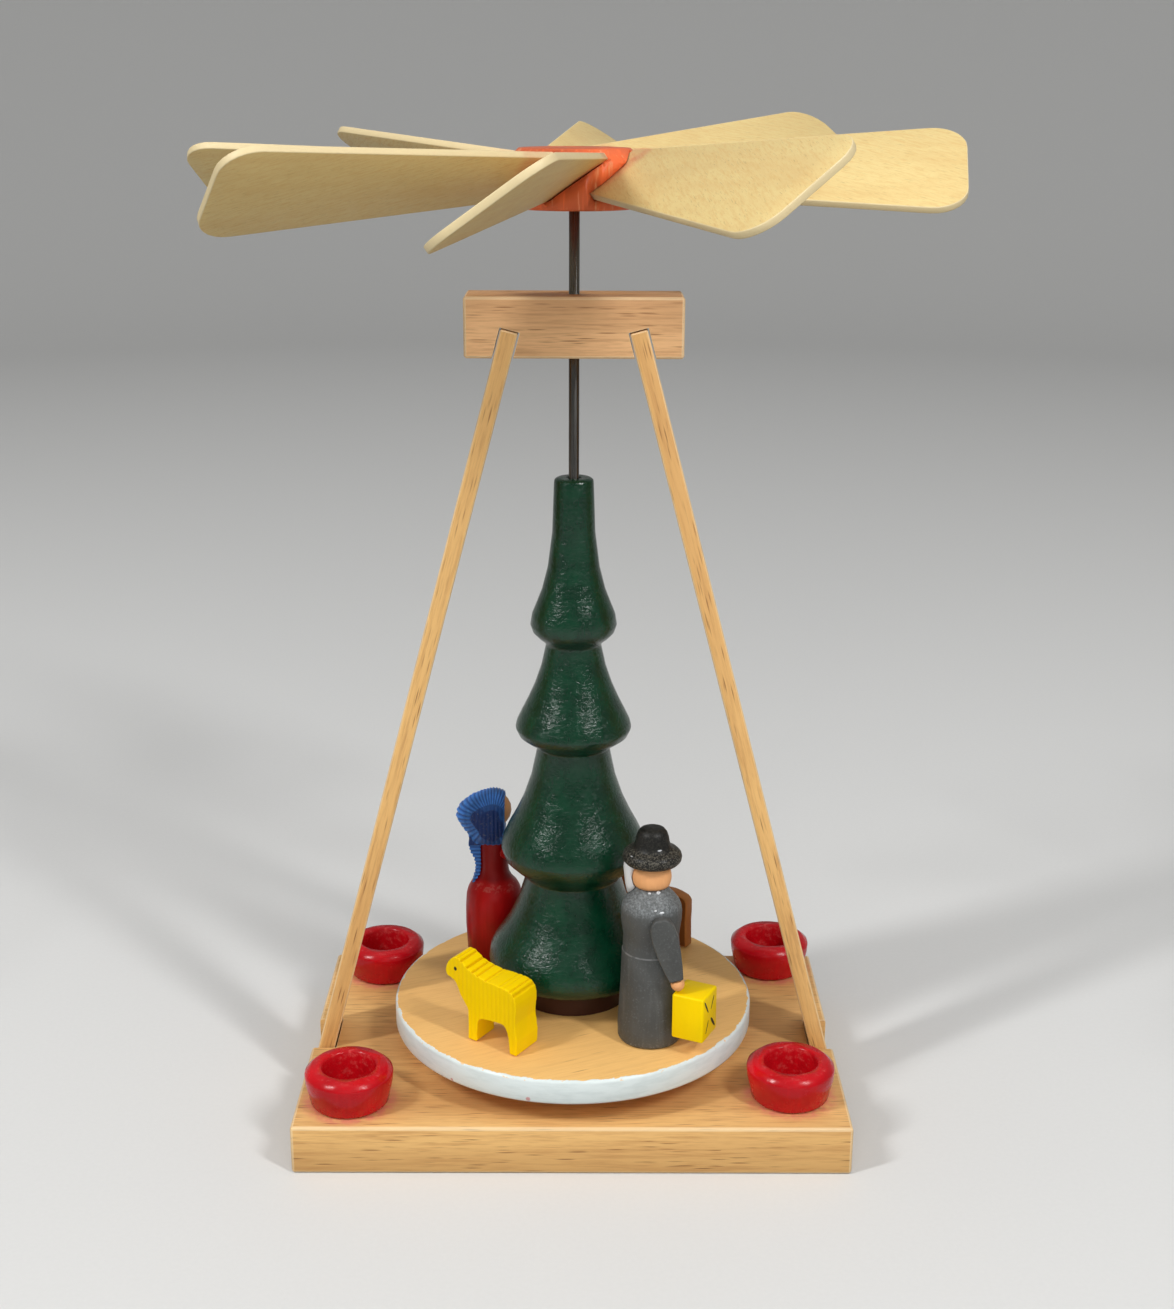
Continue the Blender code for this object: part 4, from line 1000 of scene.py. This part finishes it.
def make_floor():
    """A pale floor that curves up into a wall all round."""
    outline = [(0.0, 0.0), (floor_flat_radius, 0.0)]
    rise = floor_wall_radius - floor_flat_radius
    for step in range(1, floor_curve_steps + 1):
        angle = math.radians(90.0 * step / floor_curve_steps)
        outline.append((floor_flat_radius + rise * math.sin(angle), rise * (1 - math.cos(angle))))
    outline.append((floor_wall_radius, floor_wall_height))
    shape = bmesh.new()
    line = [shape.verts.new((radius, 0.0, height)) for radius, height in outline]
    edges = [shape.edges.new(pair) for pair in zip(line, line[1:])]
    bmesh.ops.spin(
        shape, geom=line + edges, cent=(0, 0, 0), axis=(0, 0, 1), angle=math.tau, steps=floor_round_steps,
        use_merge=True)
    bmesh.ops.remove_doubles(shape, verts=shape.verts, dist=0.1 * MM)
    bmesh.ops.recalc_face_normals(shape, faces=shape.faces)
    mesh = bpy.data.meshes.new("floor")
    shape.to_mesh(mesh)
    shape.free()
    mesh.shade_smooth()
    floor = bpy.data.objects.new("floor", mesh)
    bpy.context.scene.collection.objects.link(floor)
    paper = Recipe("floor_paper", roughness=0.9)
    tooth = paper.noise(paper.place, scale=900.0, detail=2.0)
    rays = paper.add("LightPath")
    mirrored = paper.value("MAXIMUM", rays.outputs["Is Glossy Ray"], rays.outputs["Is Transmission Ray"])
    seen = paper.value("MAXIMUM", rays.outputs["Is Camera Ray"], mirrored)
    pale = paper.mix(tooth, PAPER_DARK, PAPER_LIGHT)
    paper.colour(paper.mix(seen, PAPER_BOUNCE, pale))
    mesh.materials.append(paper.material)


def make_world():
    """An even white world behind the backdrop."""
    world = bpy.data.worlds.new("studio")
    bpy.context.scene.world = world
    world.use_nodes = True
    background = world.node_tree.nodes["Background"]
    background.inputs["Color"].default_value = (1.0, 1.0, 1.0, 1.0)
    background.inputs["Strength"].default_value = world_strength


def make_lamp(name, place, size, power, highlights):
    data = bpy.data.lights.new(name, "AREA")
    data.shape = "RECTANGLE"
    data.size, data.size_y = size
    data.energy = power
    lamp = bpy.data.objects.new(name, data)
    bpy.context.scene.collection.objects.link(lamp)
    lamp.location = place
    lamp.visible_glossy = highlights
    lamp.rotation_mode = "QUATERNION"
    lamp.rotation_quaternion = (Vector(lamp_target) - Vector(place)).to_track_quat("-Z", "Y")


make_camera()
make_floor()
make_world()
for name, place, size, power, highlights in lamps:
    make_lamp(name, place, size, power, highlights)

cups = [node for node in nodes if node.startswith("candle_cup_")]
blades = [node for node in nodes if node.startswith("blade_")]
board_top = highest("base_board")
stains_and_reflections = [((middle_of(cup).x, middle_of(cup).y), cup_foot_radius) for cup in cups]
materials = {
    "board": make_beech("beech", seed=1, flecks=0.62, stains_and_reflections=stains_and_reflections, stain_height=board_top),
    "crossbar": make_beech(
        "beech_crossbar", seed=2, flecks=0.80, light=CROSSBAR_LIGHT, dark=CROSSBAR_DARK),
    "steel_rod": make_metal("steel", STEEL_GREY, 0.30),
    "brass": make_metal("brass", BRASS_YELLOW, 0.30),
    "hub_paint": make_hub_paint(),
    "cup_paint": make_cup_paint(board_top, highest(cups[0])),
    "tree_paint": make_tree_paint(),
    "trunk_paint": make_plain_paint("trunk_paint", TRUNK_BROWN, (0.36, 0.52)),
    "turntable_wood": make_turntable_wood(radius_of("turntable"), highest("turntable")),
    "coat_paint": make_coat_paint("coat_paint", lowest("man_coat")),
    "sleeve_paint": make_coat_paint("sleeve_paint"),
    "hat_paint": make_hat_paint(lowest("man_hat") + hat_brim),
    "skin_paint": make_plain_paint("skin_paint", SKIN, (0.40, 0.55), dark=0.86, light=1.10),
    "white_paint": make_plain_paint("white_paint", WHITE, (0.45, 0.60), dark=0.88, light=1.05),
    "yellow_paint": make_yellow_paint(),
    "dress_paint": make_dress_paint("dress_paint", lowest("woman_dress") + dress_ledge),
    "dress_sleeve": make_dress_paint("dress_sleeve_paint"),
    "veil_paint": make_veil_paint(),
    "ox_paint": make_ox_paint(),
    "stroke_paint": make_plain_paint("stroke_paint", STROKE_BLACK, (0.45, 0.60)),
    "glue": make_plain_paint("glue", GLUE_WHITE, (0.20, 0.40), dark=0.9, light=1.05),
}

dress_sawn("base_board", materials["board"])
dress_sawn("crossbar", materials["crossbar"])
for seed, strut in enumerate(("strut_left", "strut_right"), start=5):
    dress_slanted(strut, make_beech("beech_" + strut, seed, flecks=0.85), UP)
for node, paint in (
        ("bearing_cup", "brass"), ("shaft", "steel_rod"), ("hub", "hub_paint"),
        ("turntable", "turntable_wood"), ("tree_trunk", "trunk_paint")):
    dress_turned(node, materials[paint])
dress_turned("tree", materials["tree_paint"], edge=tree_edge)
for cup in cups:
    dress_cup(cup)
for seed, blade in enumerate(blades, start=11):
    dress_blade(blade, seed)

for node, paint in (("man_coat", "coat_paint"), ("man_head", "skin_paint"), ("man_hat", "hat_paint")):
    dress_turned(node, materials[paint])
dress_plain("man_beard", materials["white_paint"])
for side in ("left", "right"):
    dress_slanted("man_arm_" + side, materials["sleeve_paint"], -UP)
    dress_plain("man_hand_" + side, materials["skin_paint"])
    dress_slanted("woman_arm_" + side, materials["dress_sleeve"], -UP)
    dress_plain("woman_hand_" + side, materials["skin_paint"])
dress_lantern()
dress_turned("woman_dress", materials["dress_paint"])
dress_turned("woman_head", materials["skin_paint"])
dress_veil()
dress_sheep()
dress_sawn("ox", materials["ox_paint"])
add_glue()

bpy.context.scene.view_settings.view_transform = "Standard"
